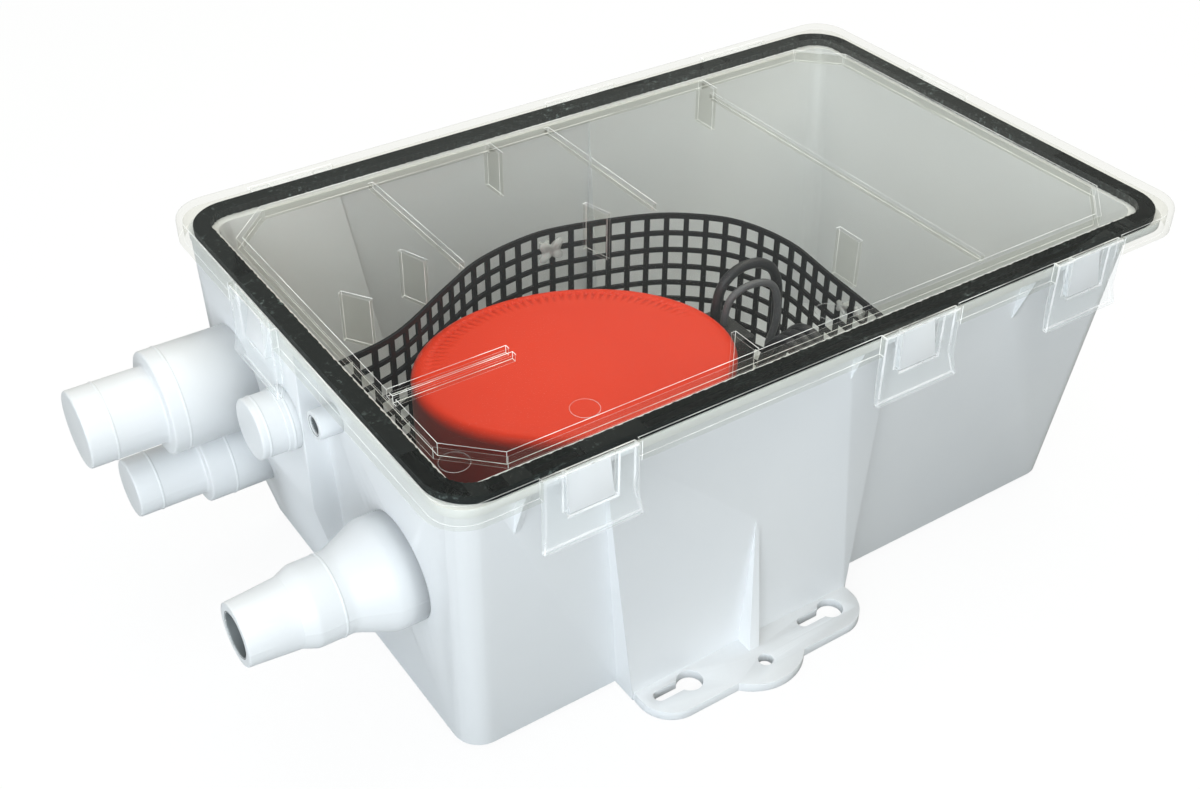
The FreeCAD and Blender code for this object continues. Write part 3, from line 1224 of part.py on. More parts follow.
def make_check_valve():
    y, z = size.discharge_y, size.discharge_z
    seat_x = discharge_inner - size.seat_inset
    length = size.seat_length
    seat = rod("seat_disc", size.valve_chamber, length, (seat_x, y, z), "-x")
    seat_bore = rod("seat_bore", size.riser_bore, length + 2 * OVERLAP, (seat_x + OVERLAP, y, z), "-x")
    seat_mouth = rod("seat_mouth", size.riser_radius + size.running_gap, size.seat_socket + OVERLAP,
                     (seat_x + OVERLAP, y, z), "-x")
    groove_outer = rod("groove_outer", size.valve_chamber + OVERLAP, 2 * size.ring_radius + 0.2,
                       (seat_x - length / 2 + size.ring_radius, y, z), "-x")
    groove_inner = rod("groove_inner", size.valve_chamber - 2 * size.ring_radius, length, (seat_x, y, z), "-x")
    groove = cut("groove", groove_outer, [groove_inner])
    pivot_z = z + size.flap_pivot
    face = seat_x - length
    pin_x = face - size.flap_gap - size.flap_thickness / 2 - 0.5
    ears = []
    ear_inner, ear_outer = 3.2, 4.8
    for i, (low, high) in enumerate(((-ear_outer, -ear_inner), (ear_inner, ear_outer))):
        ears.append(box("flap_ear_%d" % i, (pin_x - 1.6, y + low, pivot_z - 1.4), (face + OVERLAP, y + high, pivot_z + 1.3)))
    ear_hole = rod("flap_ear_hole", size.flap_pin_radius, 12.0, (pin_x, y + 6.0, pivot_z), "-y")
    keep(cut("seat_part", fused("seat_solid", [cut("seat_ring", seat, [seat_bore, seat_mouth, groove])] + ears), [ear_hole]),
         "check_valve_seat")

    ring = document.addObject("Part::Torus", "ring_torus")
    tie(ring, Radius1=size.valve_chamber - size.ring_radius, Radius2=size.ring_radius)
    place(ring, (seat_x - length / 2 - 0.1, y, z), TURNS["-x"])
    keep(ring, "valve_o_ring")

    flap_x = face - size.flap_gap
    disc = rod("flap_disc", size.flap_radius, size.flap_thickness, (flap_x, y, z), "-x")
    tongue = box("flap_tongue", (flap_x - size.flap_thickness, y - 2.8, z + 6.0), (flap_x, y + 2.8, pivot_z))
    knuckle = rod("flap_knuckle", size.knuckle_radius, 5.6, (pin_x, y + 2.8, pivot_z), "-y")
    hole = rod("flap_hole", size.flap_pin_radius + size.running_gap, 12.0, (pin_x, y + 6.0, pivot_z), "-y")
    keep(cut("flap_part", fused("flap_solid", [disc, tongue, knuckle]), [hole]), "check_flap")
    keep(rod("flap_pin_rod", size.flap_pin_radius, 2 * ear_outer, (pin_x, y + ear_outer, pivot_z), "-y"), "flap_pin")


def loop_points(along, across, drop, last):
    """Corners of a lead's loop: up from the gland's top, level, and down again towards the coil."""
    x = size.gland_x.value + along
    y = size.gland_y.value + across
    z = size.gland_z.value + size.gland_height.value
    rise = plate_bottom.value - size.lead_headroom.value - drop - z
    top = size.lead_reach.value
    return [FreeCAD.Vector(*p) for p in (
        (x, y, z), (x, y, z + 0.58 * rise), (x + 0.42 * rise, y - 0.6, z + rise),
        (x + 0.42 * rise + top, y - 1.4, z + rise), (x + 0.84 * rise + top, y - 2.0, z + 0.58 * rise),
        (x + 0.84 * rise + top, y - 3.0, z - 6.0), last)]


def make_cord(label, points, radius):
    """One lead as a plain tube, bent at each corner by 0.45 of the shorter run beside it."""
    bends = []
    for i in range(1, len(points) - 1):
        shorter = min(points[i].distanceToPoint(points[i - 1]), points[i].distanceToPoint(points[i + 1]))
        turn = math.pi - (points[i - 1] - points[i]).getAngle(points[i + 1] - points[i])
        bends.append(0.45 * shorter / math.tan(turn / 2))
    solid, length = tube_along(points, radius, bends)
    print(label, "bend radii, mm:", [round(b, 1) for b in bends], "length %.1f" % length)
    print(label, "points:", [tuple(round(c, 2) for c in p) for p in points])
    tube = document.addObject("Part::Feature", label + "_tube")
    tube.Shape = solid
    return keep(tube, label)


def make_lead():
    x, y, z = size.gland_x, size.gland_y, size.gland_z
    half = size.gland_width / 2
    block = box("gland_block", (x - 2.0, y - half, z), (x + size.gland_length, y + half, z + size.gland_height))
    soft = rounded_edges("gland_soft", block, 2.0, lambda edge: edge.BoundBox.XMin > number(x) + 2.0)
    pump = oval("gland_limit", 0.0, size.cap_bottom, size.cap_top + 10.0)
    keep(cut("gland_part", soft, [pump]), "cable_gland")
    coil_x, coil_y, end_z = size.coil_x.value, size.coil_y.value, size.gland_z.value - 1.0
    make_cord("lead", loop_points(7.5, 6.0, 0.0, (coil_x + 14.0, coil_y + 20.4, end_z)), size.lead_radius.value)
    make_cord("second_lead", loop_points(7.5, 1.0, 4.6, (coil_x + 10.0, coil_y + 20.2, end_z)),
              size.second_radius.value)

    low = size.tub_floor + 0.3
    width, height = size.coil_half_width, size.coil_height / 2
    middle_z = low + height
    outer = rounded_sketch("coil_outline", height, width, width - 0.5)
    inner = rounded_sketch("coil_inside", height - size.coil_section, width - size.coil_section,
                           width - size.coil_section - 0.5)
    turn = FreeCAD.Rotation(FreeCAD.Vector(0, 1, 0), -90)
    for sketch in (outer, inner):
        place(sketch, (size.coil_x + size.coil_thickness, size.coil_y, middle_z), turn)
    ring = extruded("coil_block", outer, size.coil_thickness)
    hole = extruded("coil_space", inner, size.coil_thickness)
    keep(cut("coil_part", ring, [hole]), "lead_coil")


def build():
    make_tub()
    make_gasket()
    make_lid()
    make_clips()
    make_screen()
    make_screen_pins()
    make_cap()
    make_strainer_base()
    make_deck()
    keep(housing_seal("housing_seal"), "housing_o_ring")
    make_impeller()
    make_motor()
    make_float()
    make_riser()
    make_check_valve()
    make_lead()


build()
document.recompute()

failed = [thing.Name for thing in document.Objects if "Invalid" in thing.State or "Error" in thing.State]
if failed:
    raise RuntimeError("These objects failed: " + ", ".join(failed))
os.makedirs("parts", exist_ok=True)
for piece in KEPT:
    shape = piece.Shape
    if shape.isNull() or not shape.isValid() or shape.Volume <= 0:
        raise RuntimeError("The shape of " + piece.Label + " is not sound")
for piece in KEPT:
    piece.Shape.exportStep("parts/" + piece.Label + ".step")
    edges = piece.Shape.BoundBox
    print("%-20s %d solid(s) %10.1f mm3  x %.1f..%.1f y %.1f..%.1f z %.1f..%.1f"
          % (piece.Label, len(piece.Shape.Solids), piece.Shape.Volume, edges.XMin, edges.XMax,
             edges.YMin, edges.YMax, edges.ZMin, edges.ZMax))
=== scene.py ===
"""Looks of the shower sump: a white tub with hose ports, a clear clipped lid and a filtered pump.

Lengths are in millimetres where nothing else is said. The hose ports look along -X, -Y is the long
side whose foot faces the viewer, and the underside is at z = 0.
"""

import math

import bmesh
import bpy
import numpy as np
from mathutils import Matrix, Vector


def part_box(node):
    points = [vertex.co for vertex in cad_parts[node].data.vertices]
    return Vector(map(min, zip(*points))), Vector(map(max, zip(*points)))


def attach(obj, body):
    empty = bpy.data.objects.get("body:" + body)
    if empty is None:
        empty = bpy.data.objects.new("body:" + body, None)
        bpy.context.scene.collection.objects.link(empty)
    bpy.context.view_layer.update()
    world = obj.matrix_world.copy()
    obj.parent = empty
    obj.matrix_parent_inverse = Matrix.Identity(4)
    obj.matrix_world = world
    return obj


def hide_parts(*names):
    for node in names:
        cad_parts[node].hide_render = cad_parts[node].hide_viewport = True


bl_info = {
    "name": "Shower sump",
    "version": (1, 0, 0),
    "blender": (4, 5, 0),
    "location": "3D View > Sidebar > Sump",
    "description": "Dresses the shower sump and its pump with detailed pieces and materials",
    "category": "Object",
}

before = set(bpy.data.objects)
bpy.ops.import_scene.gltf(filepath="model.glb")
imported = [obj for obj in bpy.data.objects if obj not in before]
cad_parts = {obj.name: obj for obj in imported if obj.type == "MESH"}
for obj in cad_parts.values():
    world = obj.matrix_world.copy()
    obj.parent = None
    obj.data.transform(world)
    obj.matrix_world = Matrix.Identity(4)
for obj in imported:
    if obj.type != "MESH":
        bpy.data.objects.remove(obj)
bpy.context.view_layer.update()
MM = 0.001
BODY = "tub_body"

# The tub's drafted walls: a face's distance from the middle at the floor, and its lean per height.
OUTSIDE_X, INSIDE_X, LEAN_X = 129.7, 127.2, 0.0537
INSIDE_Y, LEAN_Y = 69.1, 0.11


def cad(node):
    """Lowest and highest corner of a CAD node in millimetres."""
    low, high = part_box(node)
    return np.array(low) / MM, np.array(high) / MM


# -------- sizes and colours a user would change

class SumpSizes(bpy.types.PropertyGroup):
    """Sizes of the details, in millimetres."""

    soft_edge: bpy.props.FloatProperty(
        name="Moulded edge", description="Rounding of the tub's and lid's moulded edges",
        default=0.5, min=0.1, max=1.0)
    screen_hole: bpy.props.FloatProperty(
        name="Screen hole", description="Side of a hole of the filter screen", default=5.1, min=3.0, max=6.0)
    screen_columns: bpy.props.IntProperty(
        name="Screen columns", description="Holes along the filter screen", default=36, min=20, max=60)
    screen_rows: bpy.props.IntProperty(
        name="Screen rows", description="Holes from the floor to the top of the screen",
        default=15, min=8, max=20)
    lead_diameter: bpy.props.FloatProperty(
        name="Lead", description="Diameter of the pump's power lead", default=3.6, min=3.0, max=4.4)
    second_lead_diameter: bpy.props.FloatProperty(
        name="Switch lead", description="Diameter of the float switch's lead", default=2.6, min=2.0, max=3.2)
    cap_teeth: bpy.props.IntProperty(
        name="Cap teeth", description="Grip teeth round the back of the pump cap",
        default=104, min=40, max=200)


def linear(hex_code):
    """An sRGB hex code as linear red, green and blue."""
    parts = np.array([int(hex_code[i:i + 2], 16) for i in (1, 3, 5)]) / 255.0
    low, high = parts / 12.92, ((parts + 0.055) / 1.055) ** 2.4
    return tuple(float(v) for v in np.where(parts <= 0.04045, low, high))


def colour_property(name, hex_code, text):
    """A colour setting whose default comes from an sRGB hex code."""
    return bpy.props.FloatVectorProperty(
        name=name, description=text, subtype="COLOR", size=3, min=0.0, max=1.0, default=linear(hex_code))


class SumpColours(bpy.types.PropertyGroup):
    """Colours of the main mouldings."""

    tub: colour_property("Tub", "#E6E8E9", "White polypropylene of the tub")
    lid: colour_property("Lid", "#D5DAD8", "Veil of the clear lid")
    cap: colour_property("Pump cap", "#EC3604", "Orange-red ABS of the pump cap")
    screen: colour_property("Filter screen", "#15161C", "Black polyethylene of the filter screen")


def settings():
    """The sizes as the user has them now."""
    return bpy.context.scene.sump_sizes


# -------- lines and meshes

def placed(name, data):
    """A new object of the scene that shows a mesh, a curve, a lamp or a camera."""
    item = bpy.data.objects.new(name, data)
    bpy.context.scene.collection.objects.link(item)
    return item


def read(items, key, width=1, kind=float):
    """One property of all items of a mesh as an array with so many numbers per item."""
    values = np.zeros(len(items) * width, kind)
    items.foreach_get(key, values)
    return values.reshape(-1, width) if width > 1 else values


def mesh_piece(name, points, faces, smooth=True):
    """A mesh object whose points are given in millimetres."""
    mesh = bpy.data.meshes.new(name)
    mesh.from_pydata((np.asarray(points, float).reshape(-1, 3) * MM).tolist(), [], faces)
    mesh.validate()
    mesh.update()
    mesh.polygons.foreach_set("use_smooth", np.full(len(mesh.polygons), smooth))
    return placed(name, mesh)


def grid_faces(rows, columns, wrap_rows=False, wrap_columns=False, first=0):
    """Quads of a grid of rows x columns points, as index arrays shifted by one row and one column."""
    i = np.arange(rows if wrap_rows else rows - 1)
    j = np.arange(columns if wrap_columns else columns - 1)
    i, j = np.meshgrid(i, j, indexing="ij")
    i2, j2 = (i + 1) % rows, (j + 1) % columns
    quads = np.stack([i * columns + j, i * columns + j2, i2 * columns + j2, i2 * columns + j], axis=-1)
    return (quads.reshape(-1, 4) + first).tolist()


def outward(piece):
    """Turns a closed mesh's faces outwards."""
    work = bmesh.new()
    work.from_mesh(piece.data)
    bmesh.ops.recalc_face_normals(work, faces=work.faces)
    work.to_mesh(piece.data)
    work.free()
    return piece


def closed_grid(name, points):
    """A grid of points (rows, columns, 3) whose columns run round; one face closes each end row."""
    rows, columns = points.shape[:2]
    faces = grid_faces(rows, columns, wrap_columns=True)
    faces.append(list(range(columns))[::-1])
    faces.append(list(range((rows - 1) * columns, rows * columns)))
    return outward(mesh_piece(name, points, faces))


def looped_grid(name, points, smooth=True):
    """A grid of points (rows, columns, 3) that closes on itself both ways, like a ring."""
    faces = grid_faces(*points.shape[:2], wrap_rows=True, wrap_columns=True)
    return outward(mesh_piece(name, points, faces, smooth))


def rounded_corners(corners, radii, steps=6):
    """A polyline whose inner corners are replaced by arcs tangent to both sides.
    Each arc is a quadratic blend of its corner and the two tangent points."""
    corners = np.asarray(corners, float)
    line = [corners[:1]]
    t = np.linspace(0, 1, steps)[:, None]
    for before, corner, after, radius in zip(corners[:-2], corners[1:-1], corners[2:], radii):
        a, b = before - corner, after - corner
        long_a, long_b = np.linalg.norm(a), np.linalg.norm(b)
        reach = min(radius, 0.49 * long_a, 0.49 * long_b)
        p, q = corner + a / long_a * reach, corner + b / long_b * reach
        line.append((1 - t) ** 2 * p + 2 * t * (1 - t) * corner + t ** 2 * q)
    line.append(corners[-1:])
    return np.concatenate(line)


def way_along(points):
    """How far along a polyline each of its points lies."""
    return np.concatenate([[0], np.cumsum(np.linalg.norm(np.diff(points, axis=0), axis=1))])


def evenly(points, count):
    """So many points at even distances along a polyline in the plane."""
    way = way_along(points)
    even = np.linspace(0, way[-1], count)
    return np.stack([np.interp(even, way, points[:, i]) for i in range(2)], axis=1)


def smooth_line(points, count):
    """A curve through the points: on each stretch a cubic whose ends take the direction of their
    neighbours, then spaced evenly by its own length."""
    p = np.vstack([2 * points[0] - points[1], points, 2 * points[-1] - points[-2]])
    t = np.linspace(0, 1, 24, endpoint=False)[:, None, None]
    a, b, c, d = p[:-3], p[1:-2], p[2:-1], p[3:]
    curve = 0.5 * (2 * b + (c - a) * t + (2 * a - 5 * b + 4 * c - d) * t ** 2
                   + (3 * b - a - 3 * c + d) * t ** 3)
    return evenly(np.concatenate([curve.transpose(1, 0, 2).reshape(-1, 2), points[-1:]]), count)


def turned_piece(name, profile, centre, along, around=96, loop=False, seam=0.0):
    """A surface of revolution: the profile's (distance, radius) points are carried round the axis,
    point = centre + axis * distance + radius * (cos a, sin a) across the axis. A loop is a profile
    whose last point joins its first one, so that a bore stays open. A seam is the height of the
    mould's parting line, a narrow ridge on both sides."""
    axis = np.array({"-x": (-1.0, 0, 0), "+z": (0, 0, 1.0)}[along])
    side = np.array((0, 1.0, 0))
    angle = np.linspace(0, 2 * np.pi, around, endpoint=False)
    ring = np.cos(angle)[:, None] * side + np.sin(angle)[:, None] * np.cross(axis, side)
    profile = np.asarray(profile, float)
    parting = seam * np.exp(-(np.sin(angle) / 0.02) ** 2)
    reach = profile[:, 1, None] + np.where(profile[:, 1, None] > 1.0, parting[None], 0.0)
    points = (np.asarray(centre, float) + profile[:, 0, None, None] * axis
              + reach[..., None] * ring[None])
    return looped_grid(name, points) if loop else closed_grid(name, points)


def soft_edges(piece, width, angle):
    """Rounds the edges that turn by more than the angle, in degrees."""
    soft = piece.modifiers.new("soft edges", "BEVEL")
    soft.width = width * MM
    soft.segments = 2
    soft.limit_method = "ANGLE"
    soft.angle_limit = math.radians(angle)
    soft.harden_normals = True


def merged_copy(name, node, bevel):
    """A copy of a CAD node with its loose triangles merged, flat faces joined and edges rounded."""
    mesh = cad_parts[node].data.copy()
    mesh.name = name
    work = bmesh.new()
    work.from_mesh(mesh)
    bmesh.ops.remove_doubles(work, verts=work.verts, dist=0.002 * MM)
    bmesh.ops.dissolve_limit(work, angle_limit=math.radians(0.6), verts=work.verts, edges=work.edges,
                             delimit={"NORMAL"})
    work.to_mesh(mesh)
    work.free()
    mesh.materials.clear()
    mesh.polygons.foreach_set("use_smooth", np.full(len(mesh.polygons), True))
    piece = placed(name, mesh)
    soft_edges(piece, bevel, 30.0)
    return piece


def join(name, pieces):
    """Several meshes as one piece."""
    points, faces, smooth, first = [], [], [], 0
    for piece in pieces:
        mesh = piece.data
        points.append(read(mesh.vertices, "co", 3))
        loops = read(mesh.loops, "vertex_index", kind=np.int32) + first
        ends = np.cumsum(read(mesh.polygons, "loop_total", kind=np.int32))[:-1]
        faces += [face.tolist() for face in np.split(loops, ends)]
        smooth.append(read(mesh.polygons, "use_smooth", kind=bool))
        first += len(mesh.vertices)
        bpy.data.objects.remove(piece)
    whole = mesh_piece(name, np.concatenate(points) / MM, faces)
    whole.data.polygons.foreach_set("use_smooth", np.concatenate(smooth))
    return whole


def bars(name, corners):
    """Many bars at once: corners has the shape (bars, stations, 4, 3), four corners per station."""
    count, stations = corners.shape[:2]
    one = np.array(grid_faces(stations, 4, wrap_columns=True))
    first = (np.arange(count) * stations * 4)[:, None, None]
    sides = (one[None] + first).reshape(-1, 4).tolist()
    start = (np.array([[3, 2, 1, 0]]) + first[:, 0]).tolist()
    last = stations * 4 - 4
    end = (np.array([[last, last + 1, last + 2, last + 3]]) + first[:, 0]).tolist()
    return outward(mesh_piece(name, corners, sides + start + end, smooth=False))


# -------- materials

def add(tree, kind, values=None, links=None):
    """Adds one node with its values, and links its inputs from (node, output) pairs."""
    node = tree.nodes.new(kind)
    for key, value in (values or {}).items():
        if isinstance(key, str) and hasattr(node, key) and key not in node.inputs:
            setattr(node, key, value)
        else:
            node.inputs[key].default_value = value
    for key, (source, output) in (links or {}).items():
        tree.links.new(source.outputs[output], node.inputs[key])
    return node


def rgba(colour):
    """A hex code, or a colour setting, which is linear already, as a linear colour with full alpha."""
    return (*(linear(colour) if isinstance(colour, str) else colour), 1)


def blank(name):
    """A new material with no nodes but one, whose output gives the object's own coordinates."""
    material = bpy.data.materials.new(name)
    material.use_nodes = True
    tree = material.node_tree
    tree.nodes.clear()
    return material, tree, (add(tree, "ShaderNodeTexCoord"), "Object")


def finished(material, tree, shader):
    """Links a shader to the material's output."""
    add(tree, "ShaderNodeOutputMaterial", links={"Surface": (shader, 0)})
    return material


def noise(tree, where, size, detail, **more):
    """Noise from 0 to 1 whose lumps are about so many millimetres wide."""
    return add(tree, "ShaderNodeTexNoise", {"Scale": 1000 / size, "Detail": detail, **more},
               {"Vector": where}), "Fac"


def spread(tree, value, low, high, start=0.0, stop=1.0):
    """A value's range from start to stop stretched to low and high, and held there beyond it."""
    limits = {"From Min": start, "From Max": stop, "To Min": low, "To Max": high}
    return add(tree, "ShaderNodeMapRange", limits, {"Value": value}), 0


def product(tree, first, second):
    """Two values multiplied; the second may be a plain number."""
    plain = isinstance(second, float)
    values = {"operation": "MULTIPLY", **({1: second} if plain else {})}
    return add(tree, "ShaderNodeMath", values, {0: first} if plain else {0: first, 1: second}), 0


def blend(tree, share, first, second):
    """Two colours mixed by a share."""
    values = {"data_type": "RGBA", 6: rgba(first), 7: rgba(second)}
    return add(tree, "ShaderNodeMix", values, {0: share}), 2


def relief(tree, height, strength, depth):
    """Bump with its depth in millimetres."""
    return add(tree, "ShaderNodeBump", {"Strength": strength, "Distance": depth * MM}, {"Height": height}), 0


def moulded(name, colour, roughness, tint, grain, bump, ior=1.49, swing=0.08):
    """Moulded plastic: a soft cloudy colour from uneven cooling, a roughness that varies a little,
    and the fine grain of the mould's surface as bump."""
    material, tree, where = blank(name)
    cloud = noise(tree, where, 55, 3.0)
    shader = add(tree, "ShaderNodeBsdfPrincipled", {"IOR": ior}, {
        "Base Color": blend(tree, cloud, colour, tint),
        "Roughness": spread(tree, cloud, roughness - swing, roughness + swing),
        "Normal": relief(tree, noise(tree, where, grain, 2.0), bump, 0.1)})
    return finished(material, tree, shader)


def cap_plastic_painted_shade(colour):
    """Orange-red ABS: the top is vivid, and below the moulded edge the side is a painted shade, a deeper,
    duller red that is fullest from 94 mm down."""
    material = moulded("ABS cap orange", colour, 0.37, "#DE2E04", 1.0, 0.05, ior=1.32)
    tree = material.node_tree
    base = next(n for n in tree.nodes if n.type == "BSDF_PRINCIPLED").inputs["Base Color"]
    top = base.links[0].from_socket
    height = add(tree, "ShaderNodeSeparateXYZ", {}, {0: (add(tree, "ShaderNodeTexCoord"), "Object")})
    # Painted shade: from 98.2 mm down to 94 mm the side turns to the deeper red #7E2A26, and stays so below.
    down = spread(tree, (height, "Z"), 0.0, 1.0, 98.2 * MM, 94.0 * MM)
    painted_shade_mix, output = blend(tree, down, colour, "#7E2A26")
    tree.links.new(top, painted_shade_mix.inputs[6])
    tree.links.new(painted_shade_mix.outputs[output], base)
    return material


def clear_plastic(name, veil, density, slant_density, tint):
    """Clear polycarbonate: what lies behind shows through slightly darker and greener, under a thin
    veil of stray light that grows at a slant and is a little cloudy."""
    material, tree, where = blank(name)
    slant = add(tree, "ShaderNodeLayerWeight", {"Blend": 0.5})
    steep = add(tree, "ShaderNodeMath", {"operation": "POWER", 1: 4.0}, {0: (slant, "Facing")})
    cloud = spread(tree, noise(tree, where, 70, 4.0), 0.7, 1.3)
    amount = product(tree, spread(tree, (steep, 0), density, slant_density), cloud)
    scuffed = spread(tree, noise(tree, where, 6, 5.0), 0.05, 0.16)
    surface = add(tree, "ShaderNodeBsdfPrincipled", {"IOR": 1.58, "Base Color": rgba(veil)},
                  {"Roughness": scuffed})
    through = add(tree, "ShaderNodeBsdfTransparent", {"Color": rgba(tint)})
    shader = add(tree, "ShaderNodeMixShader", {}, {0: amount, 1: (through, 0), 2: (surface, 0)})
    return finished(material, tree, shader)


def painted_edge_highlight(name, colour, density, painted_glow):
    """The rounded edge of clear plastic as a pale line that may glow: a painted highlight along the
    moulding, a little broken in places by noise."""
    material, tree, where = blank(name)
    solid = spread(tree, noise(tree, where, 22, 3.0), density * 0.35, density, 0.4, 0.6)
    # Painted highlight: the edge's own glow, given as emission.
    shader = add(tree, "ShaderNodeBsdfPrincipled", {
        "Base Color": rgba(colour), "Roughness": 0.2, "IOR": 1.58, "Emission Color": (1, 1, 1, 1),
        "Emission Strength": painted_glow}, {"Alpha": solid})
    return finished(material, tree, shader)


def rubber(name, colour, dust):
    """Black rubber: matt, with pale dust and lint in specks about half a millimetre wide, which lie
    thicker in some patches than in others."""
    material, tree, where = blank(name)
    specks = noise(tree, where, 2.2, 6.0, Roughness=0.75)
    spots = spread(tree, specks, 0.0, 1.0, 0.56, 0.72)
    patches = spread(tree, noise(tree, where, 18, 2.0), 0.0, 1.0, 0.4, 0.7)
    amount = product(tree, product(tree, spots, patches), dust)
    shader = add(tree, "ShaderNodeBsdfPrincipled", {"Roughness": 0.58, "Specular IOR Level": 0.2}, {
        "Base Color": blend(tree, amount, colour, "#9FB0B0"), "Normal": relief(tree, specks, 0.5, 0.2)})
    return finished(material, tree, shader)


def metal(name, colour, roughness, grain, brushed=1.0):
    """Plain metal: fine turning or drawing marks vary the gloss along one direction."""
    material, tree, where = blank(name)
    stretch = add(tree, "ShaderNodeMapping", {"Scale": (1.0, 1.0, brushed)}, {"Vector": where})
    marks = noise(tree, (stretch, 0), grain, 4.0)
    shader = add(tree, "ShaderNodeBsdfPrincipled", {"Base Color": rgba(colour), "Metallic": 1.0}, {
        "Roughness": spread(tree, marks, roughness - 0.08, roughness + 0.1),
        "Normal": relief(tree, marks, 0.1, 0.05)})
    return finished(material, tree, shader)


def recipes(colours):
    """Every finish by its short name: what makes it, and what that is given. Moulded plastic is given
    its name, colour, roughness, second colour, grain in millimetres and strength of the grain."""
    return {
        # White polypropylene, semi-matt, and the grey painted shade on the walls of its bores.
        "tub": (moulded, "Moulded polypropylene white", colours.tub, 0.34, "#DDE0E3", 0.9, 0.06, 1.49, 0.05),
        "bore": (moulded, "Polypropylene bore grey", "#74797A", 0.4, "#666B6D", 0.9, 0.1),
        # Clear mouldings, the painted highlights that glow along their edges, and the ejector marks.
        "lid": (clear_plastic, "Moulded polycarbonate clear", colours.lid, 0.004, 0.3, "#FBFBF9"),
        "pin": (clear_plastic, "Moulded polycarbonate pin", "#F2F5F5", 0.4, 0.8, "#F4F6F6"),
        "clip": (clear_plastic, "Moulded polycarbonate clip", "#FAFBFC", 0.1, 0.5, "#FEFFFF"),
        "lid_edge": (painted_edge_highlight, "Moulded polycarbonate edge", "#FBFDFD", 1.0, 0.25),
        "clip_edge": (painted_edge_highlight, "Polycarbonate clip edge", "#FBFCFD", 0.6, 0.15),
        "mark": (painted_edge_highlight, "Polycarbonate ejector mark", "#F1F5F5", 0.35, 0.0),
        # Rubber and the leads' soft jackets.
        "gasket": (rubber, "Foam rubber gasket", "#0D1416", 0.8),
        "o_ring": (rubber, "Nitrile rubber", "#17181A", 0.2),
        "lead": (moulded, "PVC lead black", "#1C1D24", 0.42, "#24262E", 1.4, 0.1),
        "second_lead": (moulded, "PVC lead grey", "#56585D", 0.4, "#64666B", 1.4, 0.1),
        # The pump's and the screen's plastics.
        "screen": (moulded, "Polyethylene screen black", colours.screen, 0.5, "#1B1D25", 1.2, 0.12, 1.2),
        "cap": (cap_plastic_painted_shade, colours.cap),
        "base": (moulded, "ABS base black", "#1E2023", 0.48, "#2A2C30", 1.0, 0.1),
        "impeller": (moulded, "Acetal impeller white", "#DAD9D2", 0.4, "#CFCDC4", 1.2, 0.06),
        "float": (moulded, "Foamed polypropylene float", "#E2E0D8", 0.6, "#D3D0C6", 1.8, 0.3),
        # The motor's metals, magnets and brushes.
        "steel": (metal, "Drawn stainless steel", "#B9BBBD", 0.3, 0.8, 0.1),
        "zinc": (metal, "Zinc plated steel can", "#C2C4C6", 0.35, 2.5, 0.2),
        "bronze": (metal, "Sintered bronze", "#A9794A", 0.45, 0.6),
        "copper": (metal, "Commutator copper", "#B4693F", 0.35, 0.7),
        "iron": (metal, "Laminated iron", "#6E6A66", 0.5, 0.5, 12.0),
        "ferrite": (moulded, "Ferrite magnet", "#3A3A3D", 0.55, "#47474A", 0.8, 0.25),
        "carbon": (moulded, "Carbon brush", "#2B2B2D", 0.5, "#373739", 0.7, 0.3),
    }


MATERIALS = {}


def finish(name):
    """The material of that short name, made the first time that it is asked for."""
    if name not in MATERIALS:
        maker, *given = recipes(bpy.context.scene.sump_colours)[name]
        MATERIALS[name] = maker(*given)
    return MATERIALS[name]


def dress(piece, material, body=BODY, stands_for=()):
    """Gives a new piece its material, its body and the CAD nodes that it stands for."""
    piece.data.materials.clear()
    piece.data.materials.append(finish(material))
    if stands_for:
        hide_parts(*stands_for)
    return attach(piece, body)


def pale_edges(piece, material):
    """Gives the faces of a clear piece's bevel the paler material of its edge, a painted highlight."""
    piece.data.materials.append(finish(material))
    piece.modifiers["soft edges"].material = 1


def paint_bore_shade(piece, y, z):
    """Gives the faces that look at a port's axis the grey material of the painted shade in its bore."""
    polygons = piece.data.polygons
    away = (read(polygons, "center", 3) - np.array((0.0, y, z)) * MM) * (0.0, 1.0, 1.0)
    piece.data.materials.append(finish("bore"))
    facing = (away * read(polygons, "normal", 3)).sum(axis=1) < 0
    polygons.foreach_set("material_index", facing.astype(int))


def repaint(node, material):
    """Gives a CAD node that stays in sight its procedural material."""
    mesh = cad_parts[node].data
    mesh.materials.clear()
    mesh.materials.append(finish(material))


# -------- tub and hose ports

class SUMP_OT_tub(bpy.types.Operator):
    """The tub: the moulding's own shape with rounded edges"""

    bl_idname = "sump.tub"
    bl_label = "Tub"

    def execute(self, context):
        tub = merged_copy("tub_moulding", "tub", settings().soft_edge)
        dress(tub, "tub", BODY, ("tub",))
        return {"FINISHED"}


SKIN = 0.06  # how far a port's surface stands off the CAD's, so that the two never coincide
PAD = -141.5  # x of the inlet pad's face
PORT_WALL = 2.5  # wall of an inlet barb
AXIS = 0.01  # radius of the last ring of a closed turned shape

# Inlet barbs, closed until a user cuts them open: name, (y, z) of the axis, then start, root radius,
# step, tip radius and end for barb_profile, and where its rings stand.
BARBS = (("large", (55.0, 77.3), (-0.5, 17.8, 30.0, 13.2, 55.8), (24.2, 46.5)),
         ("middle", (60.0, 43.3), (-5.5, 13.8, 18.5, 10.3, 42.5), (9.0, 34.0)),
         ("small", (14.2, 85.5), (-0.5, 10.6, 4.5, 10.2, 13.2), (2.0, 10.0)))


def ridge(at, radius, height=0.22, width=0.9):
    """Corners of a low moulded ring on a port's side."""
    return [(at, radius), (at + width * 0.3, radius + height), (at + width * 0.7, radius + height),
            (at + width, radius)]


